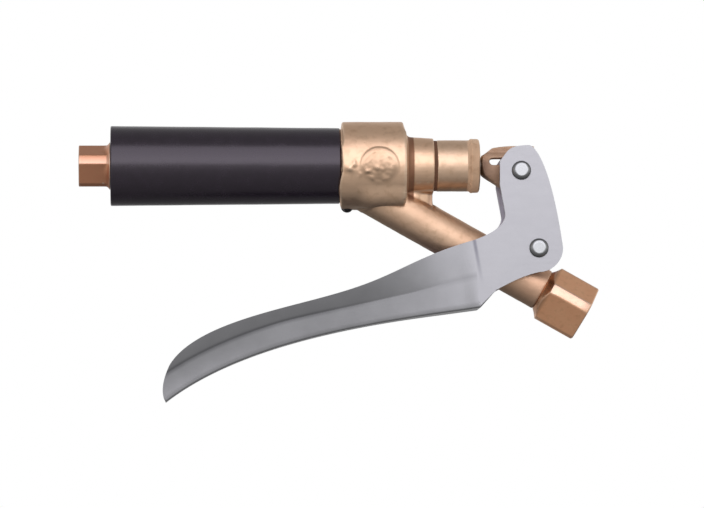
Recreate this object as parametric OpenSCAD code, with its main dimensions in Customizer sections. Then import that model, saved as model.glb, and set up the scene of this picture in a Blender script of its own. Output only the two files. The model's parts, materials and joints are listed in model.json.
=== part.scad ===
// Lever spray gun for a garden hose: brass valve body, black grip and a folded steel lever.
// Millimetres. The origin is the centre of the outlet mouth. The barrel runs along +X,
// the water leaves towards -X, the lever turns about an axis along +Y, and +Z is up.

/* [Outlet] */
// Outlet square, across flats
outlet_flats = 17.6; // [17:0.1:20]
// Diameter to which the corners of the outlet square are turned
outlet_corner_d = 20.6; // [20:0.1:24]
// Chamfer of the square's corners at the mouth
outlet_chamfer = 0.3; // [0.1:0.1:1]
// Length of the outlet square
outlet_square_len = 12.4; // [11.5:0.1:20]
// How far a corner of the outlet square is turned up from the front, in degrees
outlet_turn = 14; // [0:0.5:30]
// Tapping diameter of the outlet's quarter-inch pipe thread
outlet_bore_d = 11.2; // [9:0.1:13]
// Depth of the outlet's thread
outlet_bore_len = 11; // [8:0.5:11]
// Diameter of the flare that meets the grip
outlet_flare_d = 23.8; // [22.5:0.1:28]
// Length of the flare
outlet_flare_len = 3.2; // [2:0.1:6]
// Length of the shank that screws into the barrel
outlet_shank_len = 12; // [8:0.5:20]
// Waterway through the outlet piece
outlet_water_d = 8; // [5:0.1:8.5]

/* [Barrel and grip] */
// Outside diameter of the barrel tube
barrel_d = 21.3; // [20:0.1:23]
// Wall of the barrel tube
barrel_wall = 2.75; // [2:0.05:4]
// Length of the grip
grip_len = 114.2; // [90:0.1:150]
// Grip diameter at the outlet end
grip_front_d = 39.8; // [34:0.1:44]
// Grip diameter at the valve end
grip_back_d = 37.8; // [33:0.1:42]
// Rounding of the grip's ends
grip_edge_r = 1.2; // [0.5:0.1:3]

/* [Valve body] */
// Diameter of the lip against the grip
lip_d = 37; // [32:0.1:42]
// Length of the lip
lip_len = 1.6; // [1:0.1:3]
// Diameter of the collar
collar_d = 44; // [42:0.1:50]
// Length of the collar
collar_len = 31.4; // [30:0.1:40]
// Rounding of the collar's edges
collar_edge_r = 0.8; // [0.3:0.1:2]
// How far the collar's right face slopes back towards its edge
collar_slope = 1.4; // [0.2:0.1:3]
// Diameter of the neck beside the collar
neck_d = 28.8; // [27.5:0.1:34]
// Diameter of the neck beside the packing nut
neck_end_d = 27.4; // [26:0.1:33]
// Length of the neck
neck_len = 13.8; // [12:0.1:20]
// Fillet from the collar to the neck
neck_fillet_r = 2.6; // [1:0.1:6]
// Diameter of the round cast pad on the front of the collar
pad_d = 20; // [12:0.1:24]
// Place of the pad along the collar, as a share of the collar's length
pad_share = 0.55; // [0.4:0.01:0.65]
// How far the pad's middle lies below the barrel axis
pad_drop = 2.2; // [0:0.1:4]
// How far the pad stands proud of the collar
pad_proud = 0.6; // [0.2:0.1:1.5]
// Depth of the dish in the middle of the pad
pad_dish = 0.4; // [0.1:0.1:1]
// Width of the rim around the dish
pad_rim = 1.5; // [0.8:0.1:3]
// Length of the socket that takes the barrel
socket_len = 7.5; // [6:0.1:9]
// Wall between the socket and the valve seat
seat_wall = 1.5; // [1:0.1:2.5]
// Diameter of the valve chamber
chamber_d = 26.4; // [24:0.1:30]
// Thickness of the web under the neck
web_t = 12; // [8:0.1:19]
// Step from the web to the neck's right end
web_step = 0.6; // [0.3:0.1:3]

/* [Inlet leg] */
// Slope of the leg below the barrel axis, in degrees
leg_angle = 29.5; // [28:0.1:32]
// How far before the casting's left end the leg's axis meets the barrel axis
leg_set_back = 9; // [6:0.1:11]
// Outside diameter of the leg
leg_d = 20.9; // [19:0.1:21.5]
// Waterway in the leg
leg_bore_d = 14; // [9:0.1:15]
// How far below the chamber the leg's waterway starts
leg_bore_dip = 1.5; // [0.5:0.1:3]
// Length of the leg along its axis, to the coupling
leg_len = 126.3; // [124:0.1:150]
// Outside diameter of the leg's threaded end
leg_end_d = 18.4; // [17:0.1:19]
// Length of the leg's threaded end
leg_end_len = 9; // [6:0.1:10]

/* [Inlet coupling] */
// Inlet square, across flats
inlet_flats = 23.4; // [22.6:0.1:26]
// Diameter to which the corners of the inlet square are turned
inlet_corner_d = 28.6; // [27.5:0.1:34]
// Length of the sloping shoulder
inlet_shoulder_len = 3.3; // [3:0.1:8]
// Length of the inlet square after its shoulder
inlet_square_len = 21.4; // [20.5:0.1:30]
// Tapping diameter of the inlet's half-inch pipe thread
inlet_bore_d = 18.2; // [17:0.1:20]
// Depth of the inlet's thread
inlet_bore_len = 11.5; // [8:0.1:12]
// Diameter of the relief below the thread, which holds the washer
inlet_relief_d = 19.4; // [18.6:0.1:21]
// Thickness of the inlet's rubber washer
inlet_washer_t = 2.5; // [1.5:0.1:3]
// How far a corner of the inlet square is turned up from the front, in degrees
inlet_turn = 8; // [0:0.5:30]

/* [Packing nut] */
// Thickness of the gasket between neck and nut
gasket_t = 1.6; // [1:0.1:3]
// Diameter of the gasket
gasket_d = 25.2; // [23.5:0.1:25.4]
// Diameter of the nut
nut_d = 25.6; // [24.5:0.1:30]
// Length of the nut, without its rim
nut_len = 16.4; // [15:0.1:22]
// Diameter of the nut's rim
rim_d = 26.9; // [26:0.1:32]
// Length of the rim
rim_len = 4.8; // [3:0.1:8]
// Rounding of the rim's edges
rim_edge_r = 1; // [0.3:0.1:1.4]
// Diameter of the nut's threaded spigot
spigot_d = 21.8; // [21:0.1:23]
// Length of the spigot inside the neck
spigot_len = 12.6; // [8:0.1:13]
// Diameter of the spring pocket
pocket_d = 15.2; // [14.8:0.1:17]
// Diameter of the packing box
box_d = 14.8; // [13:0.1:16]
// Depth of the packing box
box_len = 11.2; // [10.5:0.1:13]
// Wall between the spring pocket and the packing box
box_wall = 2.4; // [1.5:0.1:3.5]
// Number of packing rings
ring_count = 3; // [2:1:4]
// Length of the gland
gland_len = 4; // [3:0.1:5]

/* [Valve] */
// Stem diameter
stem_d = 8; // [6.5:0.1:8.6]
// Diameter of the stem's threaded ends
stem_end_d = 5; // [4:0.1:5.6]
// Outside diameter of the seat ring
seat_d = 20; // [18.5:0.1:21]
// Waterway through the seat
seat_bore_d = 12; // [11:0.1:13]
// Length of the seat ring
seat_len = 5; // [4:0.1:6]
// Height of the raised seat
seat_lip = 1; // [0.5:0.1:1.5]
// Width of the raised seat
seat_lip_w = 1.6; // [1:0.1:2]
// Diameter of the sealing washer
washer_d = 17.2; // [16.8:0.1:18]
// Thickness of the sealing washer
washer_t = 3; // [2:0.1:4]
// Diameter of the cup that holds the washer
holder_d = 18.8; // [18.6:0.1:20]
// Length of the cup
holder_len = 6; // [5.5:0.1:8]
// Depth of the washer's recess in the cup
holder_recess = 2; // [1:0.1:2.5]
// Clamping nut, across flats
disc_nut_flats = 8; // [7:0.1:8.6]
// Height of the clamping nut
disc_nut_h = 3.4; // [2.5:0.1:4]
// Wire of the return spring
spring_wire = 1.4; // [1:0.1:1.6]
// Mean diameter of the return spring
spring_d = 12.4; // [11.5:0.1:12.8]
// Turns of the return spring
spring_turns = 7; // [4:0.5:9]

/* [Yoke] */
// Gap between the packing nut and the yoke when released
yoke_gap = 1; // [0.6:0.1:2]
// Thickness of the yoke's blade
yoke_t = 12; // [10:0.1:16]
// Height of the blade above the stem's axis
yoke_top = 8.6; // [7:0.1:10]
// Diameter of the round neck where the stem enters
yoke_neck_d = 10.4; // [10:0.1:13]
// Length of the round collar at the start of the neck
yoke_collar_len = 1; // [0.5:0.1:2]
// Distance from the yoke's start to the blade's full height
yoke_flare_len = 5.6; // [4:0.1:8]
// Distance from the yoke's start to the blade's full depth
yoke_chin_len = 9.6; // [7:0.1:11]
// Radius of the eye around the upper pin
yoke_eye_r = 7.5; // [6:0.1:9]
// Distance from the yoke's start to the see-through slot
slot_start = 4; // [3.5:0.1:5]
// Height of the see-through slot
slot_h = 3.6; // [2:0.1:4.5]
// Length of the see-through slot
slot_len = 8.4; // [4:0.1:9]

/* [Lever] */
// Distance of the lever's pivot from the coupling, along the leg
pivot_back = 12.2; // [9:0.1:14]
// Height of the lever's pivot above the leg's axis
pivot_rise = 16.2; // [15:0.1:18]
// Drop of the upper pin below the stem's axis
pin_drop = 3.4; // [2.5:0.1:4]
// Lean of the arm towards the outlet when released, in degrees
arm_lean = 12.4; // [10:0.1:14]
// Thickness of the lever's sheet
sheet_t = 2.5; // [1.5:0.1:3]
// Clear width between the lever's plates
lever_gap = 23.4; // [22.8:0.1:27]
// Radius of the plates around the pivot
pivot_end_r = 12; // [9:0.1:12.4]
// Height of the plates above the upper pin
arm_end_r = 12; // [9:0.1:13]
// Reach of the plates to the left of the upper pin
plate_left = 10.6; // [9:0.1:12]
// Reach of the handle from the pivot to its tip
handle_reach = 186; // [160:1:210]
// Drop of the handle's tip below the pivot
handle_drop = 75.8; // [60:0.1:90]
// Depth of the handle at its tip
tip_depth = 18.5; // [12:0.1:22]
// Depth of the handle where the hand squeezes it
grip_depth = 18.2; // [15:0.1:22]
// Height of the handle's crease at the head, as a share of its depth
crease_at_head = 0.44; // [0.35:0.01:0.6]
// Height of the handle's crease at the tip, as a share of its depth
crease_at_tip = 0.6; // [0.45:0.01:0.7]
// Outside width of the handle's edges at its tip
tip_w = 22; // [18:0.1:28]
// Outward flare of the handle's sides above the crease, in degrees
edge_flare = 24; // [0:1:30]
// Outward lean of the handle's sides below the crease, in degrees
side_lean = 6; // [0:1:10]
// Outside radius of the handle's lower bends
bend_r = 2.8; // [2.6:0.1:6]

/* [Pins] */
// Diameter of both lever pins
pin_d = 5; // [4:0.1:6]
// Diameter of the pins' heads
pin_head_d = 9.6; // [8:0.1:12]
// Height of the pins' heads
pin_head_h = 2.2; // [1.9:0.1:3]
// Rounding of the pins' heads
pin_round = 1.8; // [0.8:0.1:1.8]
// Diameter of the pins' formed ends
pin_end_d = 8; // [6.5:0.1:9]
// Height of the pins' formed ends
pin_end_h = 1.5; // [1:0.1:2.5]
// Diameter of the pins' washers
pin_washer_d = 10; // [8.5:0.1:13]
// Thickness of the pins' washers
pin_washer_t = 1; // [0.5:0.1:1.5]
// Outside diameter of the bush and of the spacers
bush_d = 8.6; // [8:0.1:9.5]
// Radius of the lug around the bush
lug_r = 8; // [7:0.1:9]
// Thickness of the lug
lug_t = 16; // [12:0.1:20]
// Step from the lug's round eye to its foot, on each side
lug_step = 0.5; // [0.3:0.1:2]
// Diameter of the retaining screw
screw_d = 4; // [3:0.1:5]
// Diameter of the retaining screw's head
screw_head_d = 5.8; // [5.5:0.1:8]
// Height of the retaining screw's head
screw_head_h = 2; // [1:0.1:3]
// How deep the retaining screw's head sits in the collar
screw_sink = 0.6; // [0.3:0.1:1.5]
// Distance of the retaining screw from the collar's left edge
screw_inset = 2; // [1.5:0.1:3.5]

/* [Clearances] */
// Radial gap of screwed and seated pieces
screwed_gap = 0.05; // [0.02:0.01:0.1]
// Radial gap of sliding and turning fits
running_gap = 0.05; // [0.02:0.01:0.1]
// Gap between the washer and its seat when closed
seat_gap = 0.05; // [0.02:0.01:0.1]
// Side gap between the lever's plates and what they straddle
side_gap = 0.3; // [0.2:0.05:0.6]
// Gap around the upper pin in the yoke's eye
eye_gap = 0.2; // [0.15:0.01:0.4]
// Gap between the grip and the outlet piece
grip_gap = 0.2; // [0.1:0.05:0.5]
// Gap at each end of the return spring
spring_gap = 0.1; // [0.05:0.05:0.3]
// Wall between the stem's threaded end and the yoke's slot
slot_wall = 0.6; // [0.4:0.1:1]

/* [Hidden] */
$fn = 64;
brass = [0.76, 0.60, 0.45];
bright_brass = [0.80, 0.64, 0.42];
steel = [0.72, 0.72, 0.75];
lever_grey = [0.62, 0.62, 0.65];
rubber = [0.13, 0.12, 0.14];
fibre = [0.30, 0.24, 0.20];

// Cuts reach this far past the faces that they open
reach = 1;
// Lever angle from released to fully squeezed, in degrees
squeeze = 12;

// Stations along the barrel axis, from the outlet to the packing nut
barrel_x = outlet_square_len + outlet_flare_len;
grip_x = barrel_x + grip_gap;
body_x = grip_x + grip_len;
collar_x = body_x + lip_len;
neck_x = collar_x + collar_len;
neck_end = neck_x + neck_len;
nut_x = neck_end + gasket_t;
rim_x = nut_x + nut_len;
nut_end = rim_x + rim_len;
socket_end = body_x + socket_len;
seat_x = socket_end + seat_wall;
chamber_x = seat_x + seat_len;
chamber_wall = 1;
chamber_end = neck_x - chamber_wall;
spigot_x = neck_end - spigot_len;
box_x = nut_end - box_len;
pocket_end = box_x - box_wall;
barrel_bore_d = barrel_d - 2 * barrel_wall;

// Moving valve pieces, with the valve closed
washer_x = chamber_x + seat_lip + seat_gap;
holder_x = washer_x + washer_t - holder_recess;
holder_end = holder_x + holder_len;
disc_nut_x = washer_x - disc_nut_h;
yoke_x = nut_end + yoke_gap;
slot_x = yoke_x + slot_start;
stem_end_len = slot_start - slot_wall;

// Lever pins
leg_root = [body_x - leg_set_back, 0, 0];
pivot_along = leg_len - pivot_back;
pivot = [
    leg_root.x + pivot_along * cos(leg_angle) + pivot_rise * sin(leg_angle),
    0,
    pivot_rise * cos(leg_angle) - pivot_along * sin(leg_angle)
];
arm_rise = -pivot.z - pin_drop;
arm_len = arm_rise / cos(arm_lean);
arm = [-arm_len * sin(arm_lean), 0, arm_rise];
upper_pin = pivot + arm;
pin_lift = arm_len * (cos(arm_lean - squeeze) - cos(arm_lean));

// Turns a shape that stands on +Z so that it lies along the barrel
module along_barrel(x = 0) {
    translate([x, 0, 0]) rotate([0, 90, 0]) children();
}

// Turns a shape that stands on +Z so that it lies along the leg, s from the leg's root
module along_leg(s = 0) {
    translate(leg_root) rotate([0, 90 + leg_angle, 0]) translate([0, 0, s]) children();
}

// A round bar across the part, along Y, through a point of the middle plane
module across(point, d, half_len) {
    translate(point) rotate([90, 0, 0]) cylinder(d = d, h = 2 * half_len, center = true);
}

module ring(outer_d, inner_d, len) {
    difference() {
        cylinder(d = outer_d, h = len);
        translate([0, 0, -reach]) cylinder(d = inner_d, h = len + 2 * reach);
    }
}

// A square bar on +Z, twisted by turn. Its corners are turned, and taper to foot_d at its foot
module turned_square(flats, corner_d, len, foot_d, foot_len, turn) {
    corner_r = corner_d / 2;
    intersection() {
        rotate([0, 0, -turn]) cylinder(d = flats / cos(45), h = len, $fn = 4);
        rotate_extrude()
            polygon([[0, 0], [foot_d / 2, 0], [corner_r, foot_len], [corner_r, len], [0, len]]);
    }
}

// Points of an arc in a profile, from angle a0 to a1
function arc(centre, r, a0, a1, steps) = [
    for (i = [0 : steps]) let (a = a0 + (a1 - a0) * i / steps)
        centre + r * [cos(a), sin(a)]
];

// A point of a Bezier curve of any degree
function bezier(p, t) = len(p) == 1
    ? p[0]
    : bezier([for (i = [0 : len(p) - 2]) p[i] * (1 - t) + p[i + 1] * t], t);

module outlet_adapter() color(brass) {
    shank_d = barrel_bore_d - 2 * screwed_gap;
    difference() {
        union() {
            along_barrel() turned_square(
                outlet_flats, outlet_corner_d, outlet_square_len,
                outlet_corner_d - 2 * outlet_chamfer, outlet_chamfer, outlet_turn
            );
            along_barrel(outlet_square_len)
                cylinder(d1 = outlet_flats, d2 = outlet_flare_d, h = outlet_flare_len);
            along_barrel(reach) cylinder(d = shank_d, h = barrel_x + outlet_shank_len - reach);
        }
        along_barrel(-reach) cylinder(d = outlet_bore_d, h = outlet_bore_len + reach);
        along_barrel() cylinder(d = outlet_water_d, h = barrel_x + outlet_shank_len + reach);
    }
}

module barrel_tube() color(bright_brass)
    along_barrel(barrel_x) ring(barrel_d, barrel_bore_d, socket_end - barrel_x);

module grip_sleeve() color(rubber) {
    front_r = grip_front_d / 2;
    back_r = grip_back_d / 2;
    bore_r = barrel_d / 2 + screwed_gap;
    e = grip_edge_r;
    along_barrel(grip_x) rotate_extrude() polygon(concat(
        [[bore_r, 0]],
        arc([front_r - e, e], e, -90, 0, 6),
        arc([back_r - e, grip_len - e], e, 0, 90, 6),
        [[bore_r, grip_len]]
    ));
}

// Outside of the casting around the barrel axis: lip, collar, fillet and neck
module body_revolve() {
    collar_r = collar_d / 2;
    neck_r = neck_d / 2;
    e = collar_edge_r;
    x0 = lip_len;
    x1 = lip_len + collar_len;
    along_barrel(body_x) rotate_extrude() polygon(concat(
        [[0, 0], [lip_d / 2, 0], [lip_d / 2, x0]],
        arc([collar_r - e, x0 + e], e, -90, 0, 4),
        arc([collar_r - e, x1 - collar_slope - e], e, 0, 70, 4),
        arc([neck_r + neck_fillet_r, x1 + neck_fillet_r], neck_fillet_r, 270, 180, 6),
        [[neck_end_d / 2, x1 + neck_len], [0, x1 + neck_len]]
    ));
}

// The leg starts inside the collar, so that it doesn't break through above
leg_start = (collar_d / 2 - collar_edge_r - leg_d / 2 * cos(leg_angle)) / sin(leg_angle);
// The waterway of the leg opens into the bottom of the chamber
leg_bore_start = (chamber_d / 2 + leg_bore_dip) / sin(leg_angle);

module leg_solid() {
    along_leg(leg_start) cylinder(d = leg_d, h = leg_len - leg_start);
    along_leg(leg_len - reach) cylinder(d = leg_end_d, h = leg_end_len + reach);
}

// Rounded lug on top of the leg that carries the lever
module pivot_lug() {
    foot_t = lug_t - 2 * lug_step;
    foot_len = 2 * (lug_r - lug_step);
    across(pivot, 2 * lug_r, lug_t / 2);
    along_leg(pivot_along) rotate([0, 0, 180])
        translate([0, -foot_t / 2, -foot_len / 2]) cube([pivot_rise, foot_t, foot_len]);
}

// Cast web that ties the underside of the neck to the leg
module neck_web() {
    web_end = neck_end - web_step;
    drop = (web_end - leg_root.x) * tan(leg_angle);
    rotate([90, 0, 0]) linear_extrude(web_t, center = true) polygon([
        [neck_x - neck_fillet_r, -neck_d / 4],
        [web_end, -neck_d / 4],
        [web_end, -drop],
        [neck_x - neck_fillet_r, -drop]
    ]);
}

// Plain round pad, slightly dished, on the front of the collar
module cast_pad() {
    pad_x = collar_x + collar_len * pad_share;
    face = collar_d / 2 + pad_proud;
    dish_d = pad_d - 2 * pad_rim;
    translate([pad_x, 0, -pad_drop]) rotate([90, 0, 0]) difference() {
        cylinder(d = pad_d, h = face);
        translate([0, 0, face - pad_dish])
            cylinder(d1 = dish_d / 2, d2 = dish_d, h = pad_dish);
    }
}

screw_x = collar_x + screw_inset;
screw_seat = collar_d / 2 - screw_sink;

module valve_body() color(brass) {
    difference() {
        union() {
            body_revolve();
            leg_solid();
            pivot_lug();
            neck_web();
            cast_pad();
        }
        along_barrel(body_x - reach)
            cylinder(d = barrel_d + 2 * screwed_gap, h = socket_len + reach);
        along_barrel(body_x) cylinder(d = barrel_bore_d, h = chamber_x - body_x);
        along_barrel(seat_x) cylinder(d = seat_d + 2 * screwed_gap, h = seat_len + reach);
        along_barrel(chamber_x) cylinder(d = chamber_d, h = chamber_end - chamber_x);
        along_barrel(chamber_x)
            cylinder(d = spigot_d + 2 * screwed_gap, h = neck_end - chamber_x + reach);
        along_leg(leg_bore_start)
            cylinder(d = leg_bore_d, h = leg_len + leg_end_len + reach - leg_bore_start);
        across(pivot, bush_d + 2 * screwed_gap, lug_t);
        translate([screw_x, 0, -collar_d]) {
            cylinder(d = screw_d + 2 * screwed_gap, h = collar_d);
            cylinder(d = screw_head_d + 2 * screwed_gap, h = collar_d - screw_seat);
        }
    }
}

// Round-headed screw that locks the barrel in its socket
module retaining_screw() color(rubber) {
    tip = barrel_d / 2 + screwed_gap;
    head_r = screw_head_d / 2;
    dome_r = (head_r * head_r + screw_head_h * screw_head_h) / (2 * screw_head_h);
    translate([screw_x, 0, 0]) {
        translate([0, 0, -screw_seat]) cylinder(d = screw_d, h = screw_seat - tip);
        intersection() {
            translate([0, 0, -screw_seat - screw_head_h + dome_r]) sphere(r = dome_r);
            translate([0, 0, -screw_seat - screw_head_h])
                cylinder(d = screw_head_d, h = screw_head_h);
        }
    }
}

inlet_end = leg_len + inlet_shoulder_len + inlet_square_len;
inlet_relief = inlet_end - inlet_bore_len - inlet_washer_t;

module inlet_coupling() color(brass) {
    socket = leg_end_len + screwed_gap;
    difference() {
        along_leg(leg_len) turned_square(
            inlet_flats, inlet_corner_d, inlet_shoulder_len + inlet_square_len,
            leg_d, inlet_shoulder_len, inlet_turn
        );
        along_leg(leg_len - reach)
            cylinder(d = leg_end_d + 2 * screwed_gap, h = socket + reach);
        along_leg(leg_len)
            cylinder(d = leg_bore_d, h = inlet_end - leg_len);
        along_leg(inlet_end - inlet_bore_len)
            cylinder(d = inlet_bore_d, h = inlet_bore_len + reach);
        along_leg(inlet_relief)
            cylinder(d = inlet_relief_d, h = inlet_washer_t);
    }
}

module inlet_washer() color(rubber)
    along_leg(inlet_relief)
        ring(inlet_relief_d - 2 * screwed_gap, leg_bore_d, inlet_washer_t - screwed_gap);

module seat_ring() color(bright_brass) difference() {
    union() {
        along_barrel(seat_x) cylinder(d = seat_d, h = seat_len);
        along_barrel(seat_x)
            cylinder(d = seat_bore_d + 2 * seat_lip_w, h = seat_len + seat_lip);
    }
    along_barrel(seat_x - reach) cylinder(d = seat_bore_d, h = seat_len + seat_lip + 2 * reach);
}

module bonnet_gasket() color(fibre)
    along_barrel(neck_end) ring(gasket_d, spigot_d + 2 * screwed_gap, gasket_t);

module packing_nut() color(brass) {
    nut_r = nut_d / 2;
    rim_r = rim_d / 2;
    spigot_r = spigot_d / 2;
    e = rim_edge_r;
    length = nut_end - spigot_x;
    rim_at = rim_x - spigot_x;
    difference() {
        along_barrel(spigot_x) rotate_extrude() polygon(concat(
            [[0, 0], [spigot_r, 0], [spigot_r, nut_x - spigot_x], [nut_r, nut_x - spigot_x]],
            [[nut_r, rim_at]],
            arc([rim_r - e, rim_at + e], e, -60, 0, 4),
            arc([rim_r - e, length - e], e, 0, 90, 5),
            [[0, length]]
        ));
        along_barrel(spigot_x - reach) cylinder(d = pocket_d, h = pocket_end - spigot_x + reach);
        along_barrel(pocket_end - reach)
            cylinder(d = stem_d + 2 * running_gap, h = box_wall + 2 * reach);
        along_barrel(box_x) cylinder(d = box_d, h = box_len + reach);
    }
}

// The rings share what the gland leaves of the packing box
ring_pitch = (box_len - gland_len) / ring_count;

module packing_rings() color(fibre)
    for (i = [0 : ring_count - 1])
        along_barrel(box_x + i * ring_pitch)
            ring(box_d - 2 * screwed_gap, stem_d + 2 * running_gap, ring_pitch - screwed_gap);

module packing_gland() color(bright_brass)
    along_barrel(nut_end - gland_len)
        ring(box_d - 2 * screwed_gap, stem_d + 2 * running_gap, gland_len);

bush_half = lever_gap / 2 - side_gap;

module pivot_bush() color(bright_brass) difference() {
    across(pivot, bush_d, bush_half);
    across(pivot, pin_d + 2 * running_gap, bush_half + reach);
}

// Helix of the return spring, between the cup and the end of the nut's pocket
spring_steps = 10;
spring_sides = 6;
spring_from = holder_end + spring_wire / 2 + spring_gap;
spring_to = pocket_end - spring_wire / 2 - spring_gap;
spring_points = [
    for (i = [0 : spring_turns * spring_steps]) let (
        f = i / (spring_turns * spring_steps),
        a = 360 * i / spring_steps,
        r = spring_d / 2
    ) for (k = [0 : spring_sides - 1]) let (
        b = 360 * k / spring_sides,
        w = spring_wire / 2
    ) [
        spring_from + (spring_to - spring_from) * f + w * sin(b),
        (r + w * cos(b)) * cos(a),
        (r + w * cos(b)) * sin(a)
    ]
];
spring_rings = spring_turns * spring_steps;
spring_faces = concat(
    [[for (k = [0 : spring_sides - 1]) k]],
    [[for (k = [spring_sides - 1 : -1 : 0]) spring_rings * spring_sides + k]],
    [for (i = [0 : spring_rings - 1], k = [0 : spring_sides - 1]) let (
        a = i * spring_sides + k,
        b = i * spring_sides + (k + 1) % spring_sides
    ) each [[a, a + spring_sides, b], [b, a + spring_sides, b + spring_sides]]]
);

module return_spring() color(steel) polyhedron(spring_points, spring_faces);

module valve_stem() color(steel) {
    along_barrel(disc_nut_x) cylinder(d = stem_end_d, h = holder_end - disc_nut_x);
    along_barrel(holder_end) cylinder(d = stem_d, h = yoke_x - holder_end);
    along_barrel(yoke_x) cylinder(d = stem_end_d, h = stem_end_len);
}

module disc_holder() color(bright_brass) difference() {
    along_barrel(holder_x) cylinder(d = holder_d, h = holder_len);
    along_barrel(holder_x - reach)
        cylinder(d = washer_d + 2 * screwed_gap, h = holder_recess + reach);
    along_barrel(holder_x)
        cylinder(d = stem_end_d + 2 * screwed_gap, h = holder_len + reach);
}

module valve_washer() color(rubber)
    along_barrel(washer_x) ring(washer_d, stem_end_d + 2 * screwed_gap, washer_t);

module disc_nut() color(bright_brass) difference() {
    along_barrel(disc_nut_x) cylinder(d = disc_nut_flats / cos(30), h = disc_nut_h, $fn = 6);
    along_barrel(disc_nut_x - reach)
        cylinder(d = stem_end_d + 2 * screwed_gap, h = disc_nut_h + 2 * reach);
}

// Blade that hooks the stem to the lever's upper pin
module stem_yoke() color(brass) {
    flare_x = yoke_x + yoke_flare_len;
    neck_r = yoke_neck_d / 2;
    blade_end = upper_pin.x;
    low = upper_pin.z - yoke_eye_r;
    eye_d = pin_d + 2 * eye_gap;
    difference() {
        union() {
            intersection() {
                rotate([90, 0, 0]) linear_extrude(yoke_t, center = true) polygon([
                    [yoke_x, -neck_r], [yoke_x, neck_r],
                    [yoke_x + yoke_collar_len, neck_r], [flare_x, yoke_top],
                    [blade_end, yoke_top], [blade_end, low],
                    [yoke_x + yoke_chin_len, low], [yoke_x + yoke_collar_len, -neck_r]
                ]);
                along_barrel(yoke_x) cylinder(
                    r1 = neck_r, r2 = neck_r + 2 * (blade_end - yoke_x), h = blade_end - yoke_x
                );
            }
            across(upper_pin, 2 * yoke_eye_r, yoke_t / 2);
            translate([blade_end, -yoke_t / 2, upper_pin.z])
                cube([yoke_eye_r, yoke_t, yoke_top - upper_pin.z]);
        }
        along_barrel(yoke_x - reach)
            cylinder(d = stem_end_d + 2 * screwed_gap, h = stem_end_len + reach + screwed_gap);
        across(upper_pin, eye_d, yoke_t);
        across(upper_pin + [0, 0, pin_lift], eye_d, yoke_t);
        translate(upper_pin + [-eye_d / 2, -yoke_t, 0]) cube([eye_d, 2 * yoke_t, pin_lift]);
        across([slot_x + slot_h / 2, 0, slot_h / 2], slot_h, yoke_t);
        translate([slot_x + slot_h / 2, -yoke_t, 0]) cube([slot_len - slot_h / 2, 2 * yoke_t, slot_h]);
    }
}

// Side curves of the handle, from the fold at the head to the tip, measured from the pivot
fold_top = [-32.4, 3.9];
fold_low = [-29.1, -29.5];
tip_top = [-handle_reach + 2.8, -handle_drop + tip_depth];
tip_low = [-handle_reach + 0.9, -handle_drop];
top_curve = [fold_top, [-89.8, -12.4], [-67.8, -27.8], [-161.7, -23.4], tip_top];
low_curve = [fold_low, [-57.7, -34], [-139.9, -40.7], tip_low];
tip_curve = [tip_top, [-handle_reach - 3.05, -handle_drop + 6.55], tip_low];

function ease(t, a, b) = let (s = min(1, max(0, (t - a) / (b - a)))) s * s * (3 - 2 * s);

// The sections turn along the handle, to stay square with its web
fold_angle = atan2(fold_top.y - fold_low.y, fold_top.x - fold_low.x);
tip_angle = 126;
function section_angle(t) = fold_angle + (tip_angle - fold_angle) * t * t;

// The sections stand this much above the side outline, which then trims them
trim = 1.2;
fold_depth = norm(fold_top - fold_low);
function handle_depth(t) = fold_depth + (grip_depth - fold_depth) * ease(t, 0, 0.5);

// Height of the crease between the lower side and the flared edge
function crease(t) =
    handle_depth(t) * (crease_at_head + (crease_at_tip - crease_at_head) * ease(t, 0.2, 0.52));

head_half = lever_gap / 2 + sheet_t;

// The upper sides curve out most just above the crease
flare_steps = 3;
flare_curl = 0.35;
function flared(s) = s * (1 + flare_curl * (1 - s));

// Half of the channel's section at t along the handle: [half width, height above the web].
// The sides are upright at the head, where the channel takes in the leg.
function half_section(t) = let (
    opened = ease(t, 0.12, 0.5),
    lean = side_lean * opened,
    flare = tan(edge_flare * opened),
    h_mid = crease(t),
    h_edge = handle_depth(t) + trim - h_mid,
    edge = head_half + (tip_w / 2 - head_half) * ease(t, 0.3, 1),
    waist = edge - h_edge * flare,
    bend_x = waist - (h_mid - bend_r + bend_r * sin(lean)) * tan(lean) - bend_r * cos(lean)
) concat(
    arc([bend_x, bend_r], bend_r, -90, -lean, 4),
    [for (i = [0 : flare_steps]) let (s = i / flare_steps)
        [waist + h_edge * flare * flared(s), h_mid + h_edge * s]]
);

// The same half section, moved inwards by the sheet's thickness
function inward(p) = [
    for (i = [0 : len(p) - 1]) let (
        before = i == 0 ? [-1, 0] : p[i - 1] - p[i],
        after = i == len(p) - 1 ? -before : p[i + 1] - p[i],
        na = [before.y, -before.x] / norm(before),
        nb = [-after.y, after.x] / norm(after),
        n = (na + nb) / norm(na + nb)
    ) p[i] + n * sheet_t / (n * na)
];

// A point of the section, placed on the handle
function on_handle(t, y, h) = let (
    low = bezier(low_curve, t),
    a = section_angle(t)
) [low.x + h * cos(a), y, low.y + h * sin(a)];

function handle_ring(t) = let (
    outer = half_section(t),
    inner = inward(outer),
    n = len(outer)
) concat(
    [for (i = [n - 1 : -1 : 0]) on_handle(t, outer[i].x, outer[i].y)],
    [for (i = [0 : n - 1]) on_handle(t, -outer[i].x, outer[i].y)],
    [for (i = [n - 1 : -1 : 0]) on_handle(t, -inner[i].x, inner[i].y)],
    [for (i = [0 : n - 1]) on_handle(t, inner[i].x, inner[i].y)]
);

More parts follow.
